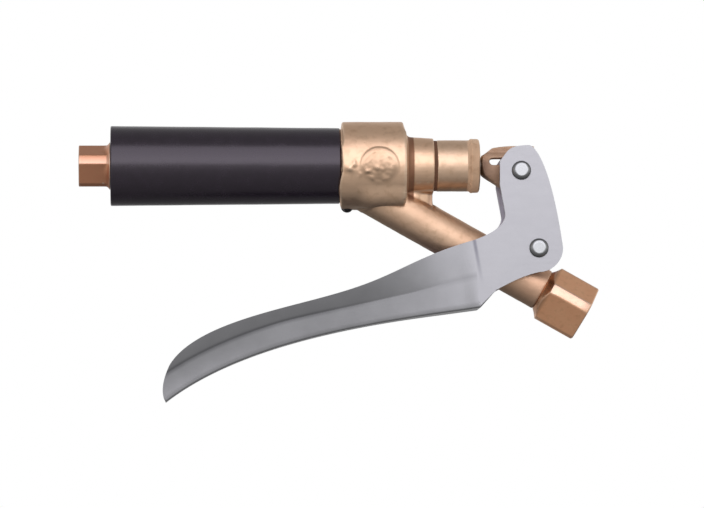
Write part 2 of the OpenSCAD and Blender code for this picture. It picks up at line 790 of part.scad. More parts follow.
// The sections run past the tip, which the side outline trims as well
handle_end = 1.03;
handle_steps = 28;
handle_n = len(handle_ring(0));
handle_half_n = handle_n / 2;
handle_points = [for (i = [0 : handle_steps]) each handle_ring(handle_end * i / handle_steps)];
handle_faces = concat(
    [for (i = [0 : handle_steps - 1], k = [0 : handle_n - 1]) let (
        a = i * handle_n + k,
        b = i * handle_n + (k + 1) % handle_n
    ) each [[a, a + handle_n, b], [b, a + handle_n, b + handle_n]]],
    [for (k = [0 : handle_half_n - 2]) let (m = handle_n - 1)
        each [[k, k + 1, m - k], [k + 1, m - k - 1, m - k]]],
    [for (k = [0 : handle_half_n - 2]) let (o = handle_steps * handle_n, m = o + handle_n - 1)
        each [[o + k, m - k, o + k + 1], [o + k + 1, m - k, m - k - 1]]]
);

// Points along a Bezier curve, without its last point
function curve(p, steps) = [for (i = [0 : steps - 1]) bezier(p, i / steps)];

// Outline that trims the handle, seen from the side
module handle_outline() polygon(concat(
    [fold_low + [lap, -reach], fold_top + [lap, 0]],
    curve(top_curve, 36),
    curve(tip_curve, 8),
    [for (i = [24 : -1 : 0]) bezier(low_curve, i / 24) - [0, reach]]
));

// Outline of a head plate, measured from the pivot. It laps over the handle at the fold.
lap = 2;
// The plates stand this much proud of the handle's sides, so that no faces coincide
plate_proud = 0.02;
plate_foot = [-21.3, -20.8];
plate_waist = [-16.6, 17.5];
module head_outline() {
    pin = [arm.x, arm.z];
    r = pivot_end_r;
    left = pin + [-plate_left, 0];
    crown = pin + [4.6, arm_end_r];
    circle(r = r);
    polygon(concat(
        [fold_top - [lap, 0.7], fold_low + [-lap, bend_r], fold_low],
        curve([plate_foot, [-14, -17], [-8, -13.8], [0, -r]], 6),
        [[0, 0], [r, 0]],
        curve([[r, 0], [r - 2.5, 19], pin + [13, 4], crown], 10),
        [crown, pin + [-4.5, arm_end_r - 0.4], left + [0, 4.6], left + [-0.1, -6.9]],
        curve([plate_waist, [-15.8, 12], [-23, 7], fold_top], 8)
    ));
}

module head_plate(side) {
    translate([0, side * (lever_gap + sheet_t) / 2, 0]) rotate([90, 0, 0])
        linear_extrude(sheet_t + 2 * plate_proud, center = true) head_outline();
}

module lever() color(lever_grey) translate(pivot) difference() {
    union() {
        intersection() {
            polyhedron(handle_points, handle_faces);
            rotate([90, 0, 0]) linear_extrude(2 * head_half + reach, center = true) handle_outline();
        }
        head_plate(1);
        head_plate(-1);
    }
    across([0, 0, 0], pin_d + 2 * screwed_gap, head_half + reach);
    across(arm, pin_d + 2 * screwed_gap, head_half + reach);
}

// Rivet with a rounded flat head on the near side and a formed end over the far washer
module lever_pin(point) {
    near = head_half + plate_proud + screwed_gap;
    far = near + pin_washer_t + screwed_gap;
    head_r = pin_head_d / 2;
    translate(point) {
        rotate([90, 0, 0]) translate([0, 0, -far]) cylinder(d = pin_d, h = far + near);
        rotate([90, 0, 0]) translate([0, 0, near]) rotate_extrude() polygon(concat(
            [[0, 0], [head_r, 0]],
            arc([head_r - pin_round, pin_head_h - pin_round], pin_round, 0, 90, 6),
            [[0, pin_head_h]]
        ));
        translate([0, far, 0]) rotate([-90, 0, 0])
            cylinder(d1 = pin_end_d, d2 = pin_d, h = pin_end_h);
    }
}

module pivot_pin() color(steel) lever_pin(pivot);

module yoke_pin() color(steel) lever_pin(upper_pin);

// Two sleeves on the upper pin that keep the yoke in the middle
module yoke_spacers() color(bright_brass)
    for (side = [-1, 1]) {
        inner = yoke_t / 2 + side_gap;
        translate(upper_pin + [0, side * inner, 0]) rotate([side * -90, 0, 0])
            ring(bush_d, pin_d + 2 * screwed_gap, lever_gap / 2 - screwed_gap - inner);
    }

module pin_washers() color(steel)
    for (point = [pivot, upper_pin])
        translate(point + [0, head_half + plate_proud + screwed_gap, 0]) rotate([-90, 0, 0])
            ring(pin_washer_d, pin_d + 2 * screwed_gap, pin_washer_t);

outlet_adapter();
barrel_tube();
grip_sleeve();
valve_body();
retaining_screw();
inlet_coupling();
inlet_washer();
seat_ring();
bonnet_gasket();
packing_nut();
packing_rings();
packing_gland();
pivot_bush();
return_spring();
valve_stem();
disc_holder();
valve_washer();
disc_nut();
stem_yoke();
lever();
pivot_pin();
yoke_pin();
yoke_spacers();
pin_washers();
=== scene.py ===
# %% [markdown]
# # A hose spray gun in brass, rubber and steel
# The solids of the gun come from the frame, in metres and already in place.
# This lesson dresses them: it sets the camera and the light, mixes the finishes,
# and models again the pieces whose real shape is softer or finer than a plain solid.
# The order is camera, light, finishes, turned pieces, castings, lever, spring and small parts.

# %% The frame and its box
import json
import math

import bmesh
import bpy
import numpy as np
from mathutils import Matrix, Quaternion, Vector, noise


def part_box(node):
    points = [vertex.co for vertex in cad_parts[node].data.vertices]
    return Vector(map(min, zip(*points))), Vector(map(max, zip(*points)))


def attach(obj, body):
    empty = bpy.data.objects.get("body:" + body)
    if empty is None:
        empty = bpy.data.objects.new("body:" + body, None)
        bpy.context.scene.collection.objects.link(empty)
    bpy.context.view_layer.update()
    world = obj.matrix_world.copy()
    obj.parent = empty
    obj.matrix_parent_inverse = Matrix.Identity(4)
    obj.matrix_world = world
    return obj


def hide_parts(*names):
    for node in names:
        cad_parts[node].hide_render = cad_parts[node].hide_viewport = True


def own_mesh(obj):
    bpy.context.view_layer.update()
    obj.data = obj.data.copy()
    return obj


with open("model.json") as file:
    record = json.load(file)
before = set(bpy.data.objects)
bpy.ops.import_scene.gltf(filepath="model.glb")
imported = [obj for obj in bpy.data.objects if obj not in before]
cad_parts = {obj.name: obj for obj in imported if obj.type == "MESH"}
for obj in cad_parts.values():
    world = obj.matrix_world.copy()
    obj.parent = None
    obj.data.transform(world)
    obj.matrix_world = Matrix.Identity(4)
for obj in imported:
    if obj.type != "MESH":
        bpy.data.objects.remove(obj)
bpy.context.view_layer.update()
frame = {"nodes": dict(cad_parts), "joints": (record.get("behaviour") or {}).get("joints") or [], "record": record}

scene = bpy.context.scene
nodes = frame["nodes"]
MM = 0.001

# %% [markdown]
# ## Camera
# The photograph was taken from far away with a long lens, a little from the left and from
# below, so the barrel's round ends show almost no ellipse. A short lens close by would
# open those ends, so the camera stands 2.2 m away, and its lens makes 1 pixel half a millimetre.
# A quarter of a degree of roll gives the barrel the slope that it has in the photograph.

# %% Camera
EYE, AIM = Vector((0.0351, -2.2, -0.1973)), Vector((0.1361, 0, -0.0443))
ROLL = math.radians(-0.25)
camera_data = bpy.data.cameras.new("photo_camera")
camera_data.lens = 226.4
camera_data.sensor_width = 36
camera_data.shift_x, camera_data.shift_y = -0.0003, 0.0007
camera = bpy.data.objects.new("photo_camera", camera_data)
scene.collection.objects.link(camera)
camera.location = EYE
turn = (AIM - EYE).to_track_quat("-Z", "Y") @ Quaternion((0, 0, 1), ROLL)
camera.rotation_euler = turn.to_euler()
scene.camera = camera
print("camera", round((AIM - EYE).length, 3), "m from the part")

# %% [markdown]
# ## Shader sums as expressions
# A finish is a small graph of nodes. Wiring it by hand is long to read, so one class
# wraps a socket: `a + b` adds a Math node, and `node` adds any other node.
# Colours are blended with a Mix node, because a Math node would turn them grey.

# %% A socket that can be added, scaled and wired
class Tap:
    """An output socket. Operators add Math nodes, and node() adds any other node."""

    def __init__(self, socket):
        self.socket = socket

    def node(self, kind, settings, sockets, out=0):
        tree = self.socket.id_data
        made = tree.nodes.new(kind)
        for name, value in settings.items():
            if name == "stops":
                ramp = made.color_ramp.elements
                while len(ramp) < len(value):
                    ramp.new(0.5)
                for stop, (place, colour) in zip(ramp, value):
                    stop.position = place
                    stop.color = colour
            else:
                setattr(made, name, value)
        for name, value in sockets.items():
            if isinstance(value, Tap):
                tree.links.new(value.socket, made.inputs[name])
            else:
                made.inputs[name].default_value = value
        return Tap(made.outputs[out]) if made.outputs else None

    def maths(self, operation, a, b):
        return self.node("ShaderNodeMath", {"operation": operation}, {0: a, 1: b})

    def __add__(self, other):
        return self.maths("ADD", self, other)

    def __sub__(self, other):
        return self.maths("SUBTRACT", self, other)

    def __rsub__(self, other):
        return self.maths("SUBTRACT", other, self)

    def __mul__(self, other):
        return self.maths("MULTIPLY", self, other)

    def __abs__(self):
        return self.maths("ABSOLUTE", self, 0)

    __radd__ = __add__
    __rmul__ = __mul__


def first_tap(tree, kind, out):
    """The first socket of an empty tree."""
    tree.nodes.clear()
    return Tap(tree.nodes.new(kind).outputs[out])


print("sockets can be added and scaled")

# %% Helpers for values and colours
def spread(value, low, high, to_low=0.0, to_high=1.0):
    """A value between low and high, spread over a new range and held inside it."""
    return value.node("ShaderNodeMapRange", {"clamp": True}, {
        "Value": value, "From Min": low, "From Max": high, "To Min": to_low, "To Max": to_high})


def blend(factor, a, b):
    """Two colours, mixed. The Mix node has its colours at sockets 6 and 7, and its result at 2."""
    return factor.node("ShaderNodeMix", {"data_type": "RGBA"}, {0: factor, 6: a, 7: b}, 2)


def grey(level):
    """An opaque grey."""
    return (level, level, level, 1)


def component(vector, axis):
    """One of the X, Y and Z values of a vector."""
    return vector.node("ShaderNodeSeparateXYZ", {}, {0: vector}, axis)


def grain(place, size_mm, detail=3.0, stretch=(1, 1, 1)):
    """Noise from 0 to 1 whose grains are size_mm across, longer where stretch is above 1."""
    scaled = place.node("ShaderNodeVectorMath", {"operation": "MULTIPLY"},
                        {0: place, 1: [1 / (size_mm * MM * s) for s in stretch]})
    return place.node("ShaderNodeTexNoise", {}, {"Vector": scaled, "Scale": 1.0, "Detail": detail})


print("shader sums ready")

# %% [markdown]
# ## Studio light
# On the real gun one wide bright band runs along every round piece: a softbox in front,
# from just above the lens to about halfway up. An area lamp gives that band and the soft
# shadow on the floor. The rest of the room is a grey gradient in the world, brightest a little
# above the lens, and only the camera sees it white. The floor is pale and glows for
# the camera alone, so that it runs out into that white and still shows the shadow.

# %% Floor
FLOOR_Z, FLOOR_HALF, FLOOR_GLOW = -0.215, 6, 0.55
floor_mesh = bpy.data.meshes.new("floor")
floor_mesh.from_pydata(
    [(x * FLOOR_HALF, y * FLOOR_HALF, FLOOR_Z) for x, y in ((-1, -1), (1, -1), (1, 1), (-1, 1))],
    [], [(0, 1, 2, 3)])
floor = bpy.data.objects.new("floor", floor_mesh)
scene.collection.objects.link(floor)
floor.visible_glossy = False
floor_paint = bpy.data.materials.new("floor_paint")
floor_paint.use_nodes = True
spot = first_tap(floor_paint.node_tree, "ShaderNodeTexCoord", "Object")
mottle = spread(grain(spot, 40), 0.3, 0.7)
pale = spot.node("ShaderNodeBsdfDiffuse", {}, {"Color": blend(mottle, grey(0.80), grey(0.83))})
bright = spot.node("ShaderNodeEmission", {}, {"Color": grey(1), "Strength": 1.0})
looked_at = spot.node("ShaderNodeLightPath", {}, {}, "Is Camera Ray")
spot.node("ShaderNodeOutputMaterial", {}, {
    "Surface": spot.node("ShaderNodeMixShader", {}, {0: FLOOR_GLOW * looked_at, 1: pale, 2: bright})})
floor_mesh.materials.append(floor_paint)
print("floor at", FLOOR_Z)

# %% World: white for the camera, a grey studio for the metal
# Each pair is the height of a direction, from straight down (-1) to straight up (1), and its grey.
AHEAD = ((-1, 0.25), (-0.83, 0.34), (-0.53, 0.42), (-0.34, 0.50), (-0.17, 0.64), (-0.03, 0.84),
         (0.08, 0.96), (0.2, 0.96), (0.35, 0.8), (0.5, 0.6), (0.8, 0.46), (1, 0.36))
BEHIND = ((-1, 0.16), (-0.45, 0.22), (-0.1, 0.6), (0.1, 0.75), (0.4, 0.75), (0.75, 0.45), (1, 0.36))
AMBIENT = 0.36
world = bpy.data.worlds.new("studio")
scene.world = world
world.use_nodes = True
way = first_tap(world.node_tree, "ShaderNodeTexCoord", "Generated")
rise = component(way, "Z")


def room(stops):
    """Brightness of the room by height."""
    return way.node("ShaderNodeValToRGB", {"stops": [
        ((height + 1) / 2, grey(level)) for height, level in stops]}, {0: spread(rise, -1, 1)})


studio = blend(spread(component(way, "Y"), -0.15, 0.15), room(AHEAD), room(BEHIND))
ray = {name: way.node("ShaderNodeLightPath", {}, {}, name)
       for name in ("Is Camera Ray", "Is Glossy Ray", "Is Transmission Ray")}
mirrored = spread(ray["Is Glossy Ray"] + ray["Is Transmission Ray"], 0, 1)
seen = blend(mirrored, grey(AMBIENT), studio)
seen = blend(ray["Is Camera Ray"], seen, grey(1))
way.node("ShaderNodeOutputWorld", {}, {
    "Surface": way.node("ShaderNodeBackground", {}, {"Color": seen, "Strength": 1.0})})
print("world ready")

# %% Softbox
MIDDLE = Vector((0.13, 0, -0.04))
SOFTBOX_AWAY, SOFTBOX_LIFT = 1.6, math.radians(29)
softbox_data = bpy.data.lights.new("softbox", "AREA")
softbox_data.shape = "RECTANGLE"
softbox_data.size = 2.0
softbox_data.size_y = 1.6
softbox_data.energy = 11.3
softbox_data.color = (1.0, 0.97, 1.07)
softbox = bpy.data.objects.new("softbox", softbox_data)
scene.collection.objects.link(softbox)
softbox.location = MIDDLE + SOFTBOX_AWAY * Vector((0, -math.cos(SOFTBOX_LIFT), math.sin(SOFTBOX_LIFT)))
softbox.rotation_euler = (MIDDLE - softbox.location).to_track_quat("-Z", "Y").to_euler()
softbox.visible_camera = False
scene.view_settings.view_transform = "Standard"
print("softbox at", [round(v, 2) for v in softbox.location])

# %% [markdown]
# ## Finishes
# Every finish starts from the place of a point in the part, in metres, so its grain has a
# real size. A bump gives the fine relief, noise moves the colour and the roughness a
# little, and the pointiness of the mesh finds edges that handling has rubbed bright.
# Dirt and shade are layers: each is a mask and the colour that it brings.

# %% What the finishes share
finishes = {}


def new_finish(name):
    """An empty material, and the place of each of its points."""
    finishes[name] = bpy.data.materials.new(name)
    finishes[name].use_nodes = True
    return first_tap(finishes[name].node_tree, "ShaderNodeTexCoord", "Object")


def layered(colour, *layers):
    """A colour under layers, each a mask and the colour that it brings."""
    for mask, tint in layers:
        colour = blend(mask, colour, (*tint, 1))
    return colour


def relief(height, depth_mm, strength=1.0):
    """Fine relief of that depth."""
    return height.node("ShaderNodeBump", {}, {
        "Height": height, "Strength": strength, "Distance": depth_mm * MM})


def surface(place, sockets):
    """Ends a finish with its shader."""
    shader = place.node("ShaderNodeBsdfPrincipled", {}, sockets)
    place.node("ShaderNodeOutputMaterial", {}, {"Surface": shader})


print("finish helpers ready")

# %% Masks for the finishes
def rubbed(place, low, high):
    """1 on outside edges, 0 on flats and in corners."""
    return spread(place.node("ShaderNodeNewGeometry", {}, {}, "Pointiness"), low, high)


def facing(place):
    """The way that each point of the surface faces."""
    return place.node("ShaderNodeNewGeometry", {}, {}, "Normal")


def distance(place, way):
    """Metres from the origin along a direction."""
    return place.node("ShaderNodeVectorMath", {"operation": "DOT_PRODUCT"}, {0: place, 1: way}, "Value")


def between(value, begins, full, fades, gone):
    """1 inside a stretch, 0 outside it, and soft at its two ends."""
    return spread(value, begins, full) * spread(value, fades, gone, 1, 0)


print("masks ready")

# %% [markdown]
# ### Cast brass
# The valve body, nut and yoke are sand castings, tumbled until they shine softly. Their
# colour drifts from gold to pink, and the skin keeps a fine sandy grain with a few pits. The
# rim of the nut and the yoke stayed matt. Painted shade darkens the brass in the groove beside
# the collar, on the edge of the web, under the neck, in the throat of the yoke, on the lower part
# of the pad, a little on the leg and on faces that look down. The yoke's whole finish is painted
# darker as shade.

# %% Where the castings change colour
COLLAR_X, COLLAR_LENGTH = 131.6, 31.4
PAD_X, PAD_Z, PAD_R = COLLAR_X + 0.55 * COLLAR_LENGTH, -2.2, 10.0
LEG_ANGLE = math.radians(29.5)
LEG_ROOT = Vector((121, 0, 0))
LEG_WAY = Vector((math.cos(LEG_ANGLE), 0, -math.sin(LEG_ANGLE)))
LEG_UP = Vector((math.sin(LEG_ANGLE), 0, math.cos(LEG_ANGLE)))
# Stretches in metres where painted shade lies: where each begins, is full, fades and is gone.
GROOVE_X = (0.1632, 0.1640, 0.1664, 0.1670)
WEB_X, WEB_Z = (0.1733, 0.1745, 0.1790, 0.1800), (-0.0205, -0.0195, -0.0146, -0.0138)
NECK_X, NECK_Z = (0.1665, 0.1672, 0.1850, 0.1860), (-0.0150, -0.0146, -0.0120, -0.0095)
THROAT_Z = (-0.014, -0.012, 0.001, 0.004)
# The pad's painted shade ends between these squares of its radius, in square metres.
PAD_FULL, PAD_GONE = 6.6e-5, 9.4e-5


def from_leg_root(place, way):
    """Metres from the root of the inclined leg along a direction."""
    return distance(place, way) - LEG_ROOT.dot(way) * MM


print("pad at", round(PAD_X, 2), "mm")

# %% Cast brass, smooth or rough
def cast_finish(name, light, dark, roughness, grit=0.05, under=0.0):
    """Cast brass between two colours. grit is its relief in mm, and under how strong the painted shade is on faces
    that look down.
    """
    place = new_finish(name)
    x, y, z = (component(place, axis) for axis in "XYZ")
    right, over = x - PAD_X * MM, z - PAD_Z * MM
    pad = spread(right * right + over * over, PAD_FULL, PAD_GONE, 1, 0) * spread(y, -0.012, -0.016)
    groove = between(x, *GROOVE_X) * spread(z, -0.0195, -0.017)
    leg_end = spread(from_leg_root(place, LEG_WAY), 0.090, 0.118)
    on_leg = spread(z, -0.018, -0.024)
    web_edge_shade = between(x, *WEB_X) * between(z, *WEB_Z)
    neck_shade = between(x, *NECK_X) * between(z, *NECK_Z)
    throat = spread(x, 0.1988, 0.1994) * spread(x, 0.2065, 0.2025, 0.25, 1) * between(z, *THROAT_Z)
    below = spread(component(facing(place), "Z"), -0.45, -0.9)
    drift = spread(grain(place, 14, 4), 0.3, 0.7)
    tarnish = spread(grain(place, 3.5, 5), 0.52, 0.75)
    sand = grain(place, 0.45, 4)
    pits = spread(grain(place, 1.6, 2), 0.66, 0.74)
    colour = layered(
        blend(drift, (*light, 1), (*dark, 1)),
        (0.4 * tarnish, (0.54, 0.34, 0.20)),
        (0.6 * rubbed(place, 0.51, 0.56), (0.92, 0.72, 0.53)),
        # Painted shade on the pad, stronger towards its bottom.
        (pad * spread(z, 0.006, 0.001, 0.1, 0.5), (0.56, 0.38, 0.255)),
        (0.8 * leg_end, (0.74, 0.46, 0.31)),
        # Painted shade: the leg a little darker.
        (0.15 * on_leg, (0.40, 0.28, 0.20)),
        # Painted shade in the groove beside the collar.
        (0.9 * groove, (0.27, 0.13, 0.075)),
        # Painted shade in the throat of the yoke.
        (0.75 * throat, (0.25, 0.155, 0.11)),
        # Painted shade on the edge of the web and under the neck.
        (0.75 * web_edge_shade + 0.4 * neck_shade, (0.34, 0.215, 0.15)),
        # Painted shade on faces that look down.
        (under * below, (0.26, 0.205, 0.16)))
    surface(place, {
        "Base Color": colour,
        "Metallic": 1.0,
        "Roughness": roughness + 0.08 * drift + 0.08 * sand + 0.2 * groove + 0.12 * on_leg,
        "Normal": relief(sand - 0.8 * pits, grit, 0.8)})


cast_finish("cast_brass", (0.88, 0.61, 0.42), (0.82, 0.55, 0.37), roughness=0.32, under=0.5)
cast_finish("nut_brass", (0.84, 0.60, 0.425), (0.79, 0.555, 0.385), roughness=0.35, grit=0.03, under=0.5)
cast_finish("rim_brass", (0.81, 0.63, 0.47), (0.72, 0.56, 0.415), roughness=0.86, grit=0.10)
# The yoke is the cast brass painted darker, as painted shade, and rough so it stays matt.
cast_finish("yoke_brass", (0.60, 0.415, 0.295), (0.52, 0.355, 0.25), roughness=0.60)
print("cast brass ready")

# %% [markdown]
# ### Drawn and turned brass
# The square ends are cut from drawn bar: redder, smoother, with lines along the bar. Dirt has
# collected where the inlet meets the leg, and the outlet is browner than the inlet. The turned
# corners are painted pale, except where they face down: a painted highlight. A point is on a
# corner where its distance from the bar's axis is greatest, so the masks compare squares of that
# distance. The inner turned parts are yellow brass with fine tool rings, which a stretched noise stands for.

# %% Bar brass
OUTLET_STRIP, INLET_STRIP = (9.4e-5, 1.0e-4), (1.87e-4, 1.98e-4)
place = new_finish("bar_brass")
drift = spread(grain(place, 9, 4), 0.3, 0.7)
lines = grain(place, 0.5, 3, (12, 1, 1))
stain = spread(grain(place, 2.5, 5), 0.5, 0.72)
along, above = from_leg_root(place, LEG_WAY), from_leg_root(place, LEG_UP)
at_outlet = spread(along, -0.05, -0.02, 1, 0)
dirt = spread(along, 0.1285, 0.1305, 1, 0) - at_outlet
across, up = (component(place, axis) for axis in "YZ")
tilt = component(facing(place), "Z")
# Painted highlight: pale turned corners, none where a corner faces down.
painted_corner_highlight = at_outlet * spread(across * across + up * up, *OUTLET_STRIP) * spread(tilt, 0.45, 0.05, 0, 0.5)
painted_corner_highlight = painted_corner_highlight + (1 - at_outlet) * spread(across * across + above * above, *INLET_STRIP, 0, 0.6)
painted_corner_highlight = painted_corner_highlight * spread(tilt, -0.1, 0.0)
colour = layered(
    blend(drift, (0.97, 0.545, 0.315, 1), (0.93, 0.485, 0.275, 1)),
    (at_outlet, (0.64, 0.30, 0.175)),
    (0.4 * stain, (0.62, 0.34, 0.19)),
    (painted_corner_highlight, (0.78, 0.56, 0.46)),
    (0.6 * dirt, (0.20, 0.10, 0.055)),
    (0.6 * rubbed(place, 0.51, 0.57), (0.90, 0.68, 0.52)))
surface(place, {
    "Base Color": colour,
    "Metallic": 1.0,
    "Roughness": 0.26 + 0.10 * lines + 0.06 * stain + spread(tilt, -0.2, -0.5, 0, 0.16),
    "Normal": relief(lines, 0.02, 0.6)})
print("bar brass ready")

# %% Turned brass
place = new_finish("turned_brass")
rings = grain(place, 0.3, 3, (1, 10, 10))
drift = spread(grain(place, 8, 3), 0.3, 0.7)
surface(place, {
    "Base Color": blend(drift, (0.78, 0.60, 0.36, 1), (0.72, 0.53, 0.31, 1)),
    "Metallic": 1.0,
    "Roughness": 0.22 + 0.12 * rings,
    "Normal": relief(rings, 0.02, 0.6)})
print("turned brass ready")

# %% [markdown]
# ### Black rubber and other dark finishes
# The grip is a moulded sleeve. Hands have polished it, so it has a clear satin band of
# light with faint rubbing marks along its length, and a hint of violet in the black.
# The seals are matt rubber or brown fibre, and the screw is blackened steel with bare edges.

# %% Grip rubber
place = new_finish("grip_rubber")
marks = grain(place, 0.7, 4, (40, 1, 1))
dust = spread(grain(place, 5, 5), 0.45, 0.75)
skin = grain(place, 0.35, 2)
surface(place, {
    "Base Color": blend(0.6 * dust + 0.25 * marks, (0.0065, 0.002, 0.008, 1), (0.013, 0.006, 0.016, 1)),
    "Roughness": 0.20 + 0.08 * marks + 0.05 * dust,
    "Specular IOR Level": 0.8,
    "Specular Tint": (1.0, 0.92, 1.0, 1),
    "Normal": relief(0.6 * marks + 0.4 * skin, 0.03, 0.5)})
print("grip rubber ready")

# %% Seal rubber, fibre and black screw
place = new_finish("seal_rubber")
skin = grain(place, 0.4, 4)
surface(place, {
    "Base Color": blend(skin, (0.018, 0.018, 0.020, 1), (0.040, 0.040, 0.044, 1)),
    "Roughness": 0.55 + 0.2 * skin,
    "Normal": relief(skin, 0.04, 0.6)})

place = new_finish("fibre_seal")
strands = grain(place, 0.4, 5, (1, 4, 4))
surface(place, {
    "Base Color": blend(strands, (0.11, 0.046, 0.023, 1), (0.20, 0.092, 0.046, 1)),
    "Roughness": 0.6 + 0.25 * strands,
    "Normal": relief(strands, 0.08, 0.8)})

place = new_finish("black_screw")
skin = grain(place, 0.5, 4)
surface(place, {
    "Base Color": blend(rubbed(place, 0.52, 0.6), (0.022, 0.020, 0.022, 1), (0.16, 0.15, 0.15, 1)),
    "Metallic": 0.6,
    "Roughness": 0.38 + 0.2 * skin,
    "Normal": relief(skin, 0.03, 0.5)})
print("dark finishes ready")

# %% [markdown]
# ### Plated sheet and bright steel
# The lever is folded from zinc-plated sheet: cool grey, satin, with rolling lines along
# its length and faint clouds in the plating. Painted shade darkens the handle towards its tip,
# and draws dark lines along the fold between head and handle and along the crease of the handle,
# whose strength the mesh brings with it. Its inner side has a touch of violet, and is painted
# lighter and less metallic, as painted light. The rivets are bright turned steel, with painted
# shade on their rounded rim.

# %% Lever steel
# The fold line, from which the painted shade of the fold and of the handle is measured.
FOLD_WAY, FOLD_POINT = Vector((0.9845, 0, 0.1756)), Vector((0.19609, 0, -0.03819))
place = new_finish("lever_steel")
rolling = grain(place, 0.25, 3, (30, 6, 6))
clouds = spread(grain(place, 12, 4), 0.3, 0.7)
specks = spread(grain(place, 0.8, 3), 0.60, 0.75)
across, height = (component(place, axis) for axis in "YZ")
from_fold = distance(place, FOLD_WAY) - FOLD_WAY.dot(FOLD_POINT)
fold = spread(abs(from_fold), 0.0003, 0.0013, 1, 0) * spread(height, -0.060, -0.042)
crease = place.node("ShaderNodeAttribute", {"attribute_name": "crease"}, {}, "Fac")
inside = spread(across * component(facing(place), "Y"), -0.010, -0.007, 1, 0)
colour = layered(
    blend(clouds, (0.389, 0.388, 0.405, 1), (0.424, 0.423, 0.44, 1)),
    (0.25 * specks, (0.33, 0.33, 0.35)),
    # Painted shade: the handle darker towards its tip.
    (spread(from_fold, -0.12, -0.02, 0.12, 0.0), (0.21, 0.21, 0.22)),
    # Painted shade: a dark line along the fold.
    (0.75 * fold, (0.17, 0.17, 0.20)),
    # Painted shade along the crease, its strength read from the mesh.
    (0.62 * crease, (0.11, 0.11, 0.12)),
    # Painted light: the inner side lighter, violet and less metallic.
    (inside, (0.60, 0.585, 0.665)))
surface(place, {
    "Base Color": colour,
    "Metallic": 1.0 - 0.45 * inside,
    "Roughness": 0.30 + 0.08 * rolling + 0.05 * clouds,
    "Normal": relief(rolling, 0.012, 0.6)})
print("lever steel ready")

# %% Pin steel
place = new_finish("pin_steel")
rings = grain(place, 0.3, 3)
normal = facing(place)
sideways, depth, up = (component(normal, axis) for axis in "XYZ")
# Painted shade: the rounded rim of a head darker than its flat, most on its lower left.
flat = spread(abs(depth) + 0.07 * sideways + 0.18 * up, 0.94, 1.0)
bright_steel = blend(rings, (0.36, 0.37, 0.375, 1), (0.50, 0.51, 0.515, 1))
surface(place, {
    "Base Color": blend(flat, (0.22, 0.22, 0.225, 1), bright_steel),
    "Metallic": 1.0,
    "Roughness": 0.16 + 0.12 * rings,
    "Normal": relief(rings, 0.015, 0.5)})
print("finishes:", sorted(finishes))

# %% [markdown]
# ## Turned pieces
# The grip and the rivets are round, and the square ends are bars with turned corners. One
# helper spins rows of radii around an axis, as a lathe does. A row may have a different radius
# at each angle, so the same helper also gives the squares and the helix of a thread.

# %% New pieces
def new_piece(name, body, finish, replaced):
    """A mesh object that stands for those solids and moves with that body."""
    piece = bpy.data.objects.new(name, bpy.data.meshes.new(name))
    scene.collection.objects.link(piece)
    piece.data.materials.append(finishes[finish])
    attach(piece, body)
    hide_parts(*replaced)
    return piece


def strip(bm, a, b, closed=True):
    """Faces between two rows of points."""
    for k in range(len(a) if closed else len(a) - 1):
        m = (k + 1) % len(a)
        bm.faces.new((a[k], a[m], b[m], b[k]))


def fill(piece, bm):
    """Moves finished geometry into its piece, faces outwards and smooth."""
    bmesh.ops.remove_doubles(bm, verts=bm.verts, dist=1e-6)
    bmesh.ops.dissolve_degenerate(bm, edges=bm.edges, dist=1e-7)
    bmesh.ops.recalc_face_normals(bm, faces=bm.faces)
    bm.to_mesh(piece.data)
    bm.free()
    piece.data.shade_smooth()
    print(piece.name, len(piece.data.polygons), "faces")


print("pieces can be made")

# %% A lathe for round and nearly round pieces
def spin(piece, rows, origin, axis, zero, segments):
    """Spins closed rows of (distance along the axis, radius), in mm. zero is where the angle starts."""
    axis, zero = Vector(axis).normalized(), Vector(zero).normalized()
    quarter = axis.cross(zero)
    turns = [2 * math.pi * k / segments for k in range(segments)]
    bm = bmesh.new()
    grid = []
    for along, radius in rows:
        middle = Vector(origin) + axis * along
        radii = radius if hasattr(radius, "__len__") else [radius] * segments
        grid.append([bm.verts.new((middle + r * (zero * math.cos(a) + quarter * math.sin(a))) * MM)
                     for a, r in zip(turns, radii)])
    for row, after in zip(grid, grid[1:] + grid[:1]):
        strip(bm, row, after)
    fill(piece, bm)


def corner(x, r, radius, start, end, steps=5):
    """Rows of a rounded edge: an arc around (x, r), angles in degrees from the axis."""
    angles = [math.radians(start + (end - start) * i / steps) for i in range(steps + 1)]
    return [(x + radius * math.cos(a), r + radius * math.sin(a)) for a in angles]


ALONG_X, DOWN = (1, 0, 0), (0, 0, -1)
print("lathe ready")

# %% [markdown]
# ### Grip sleeve
# The sleeve tapers slightly towards the valve and has rounded rims. It is one profile on the
# lathe, with a row every few millimetres so that its long sides can be slightly uneven,
# as a moulding that has shrunk on its tube.

# %% Grip sleeve
GRIP_X, GRIP_END = 15.8, 130.0
GRIP_FRONT_R, GRIP_BACK_R, GRIP_BORE_R, GRIP_EDGE = 19.9, 18.9, 10.7, 0.7
GRIP_ROWS, GRIP_AROUND, GRIP_UNEVEN = 30, 128, 0.06
grip = new_piece("grip_rubber_sleeve", "body", "grip_rubber", ["grip_sleeve"])
rows = [(GRIP_X, GRIP_BORE_R)]
rows += corner(GRIP_X + GRIP_EDGE, GRIP_FRONT_R - GRIP_EDGE, GRIP_EDGE, 180, 90)
angles = np.linspace(0, 2 * math.pi, GRIP_AROUND, endpoint=False)
for i in range(1, GRIP_ROWS):
    t = i / GRIP_ROWS
    x = GRIP_X + GRIP_EDGE + (GRIP_END - GRIP_X - 2 * GRIP_EDGE) * t
    r = GRIP_FRONT_R + (GRIP_BACK_R - GRIP_FRONT_R) * t
    waves = [noise.noise((x * 0.09, math.cos(a) * 1.5, math.sin(a) * 1.5)) for a in angles]
    rows.append((x, [r + GRIP_UNEVEN * wave for wave in waves]))
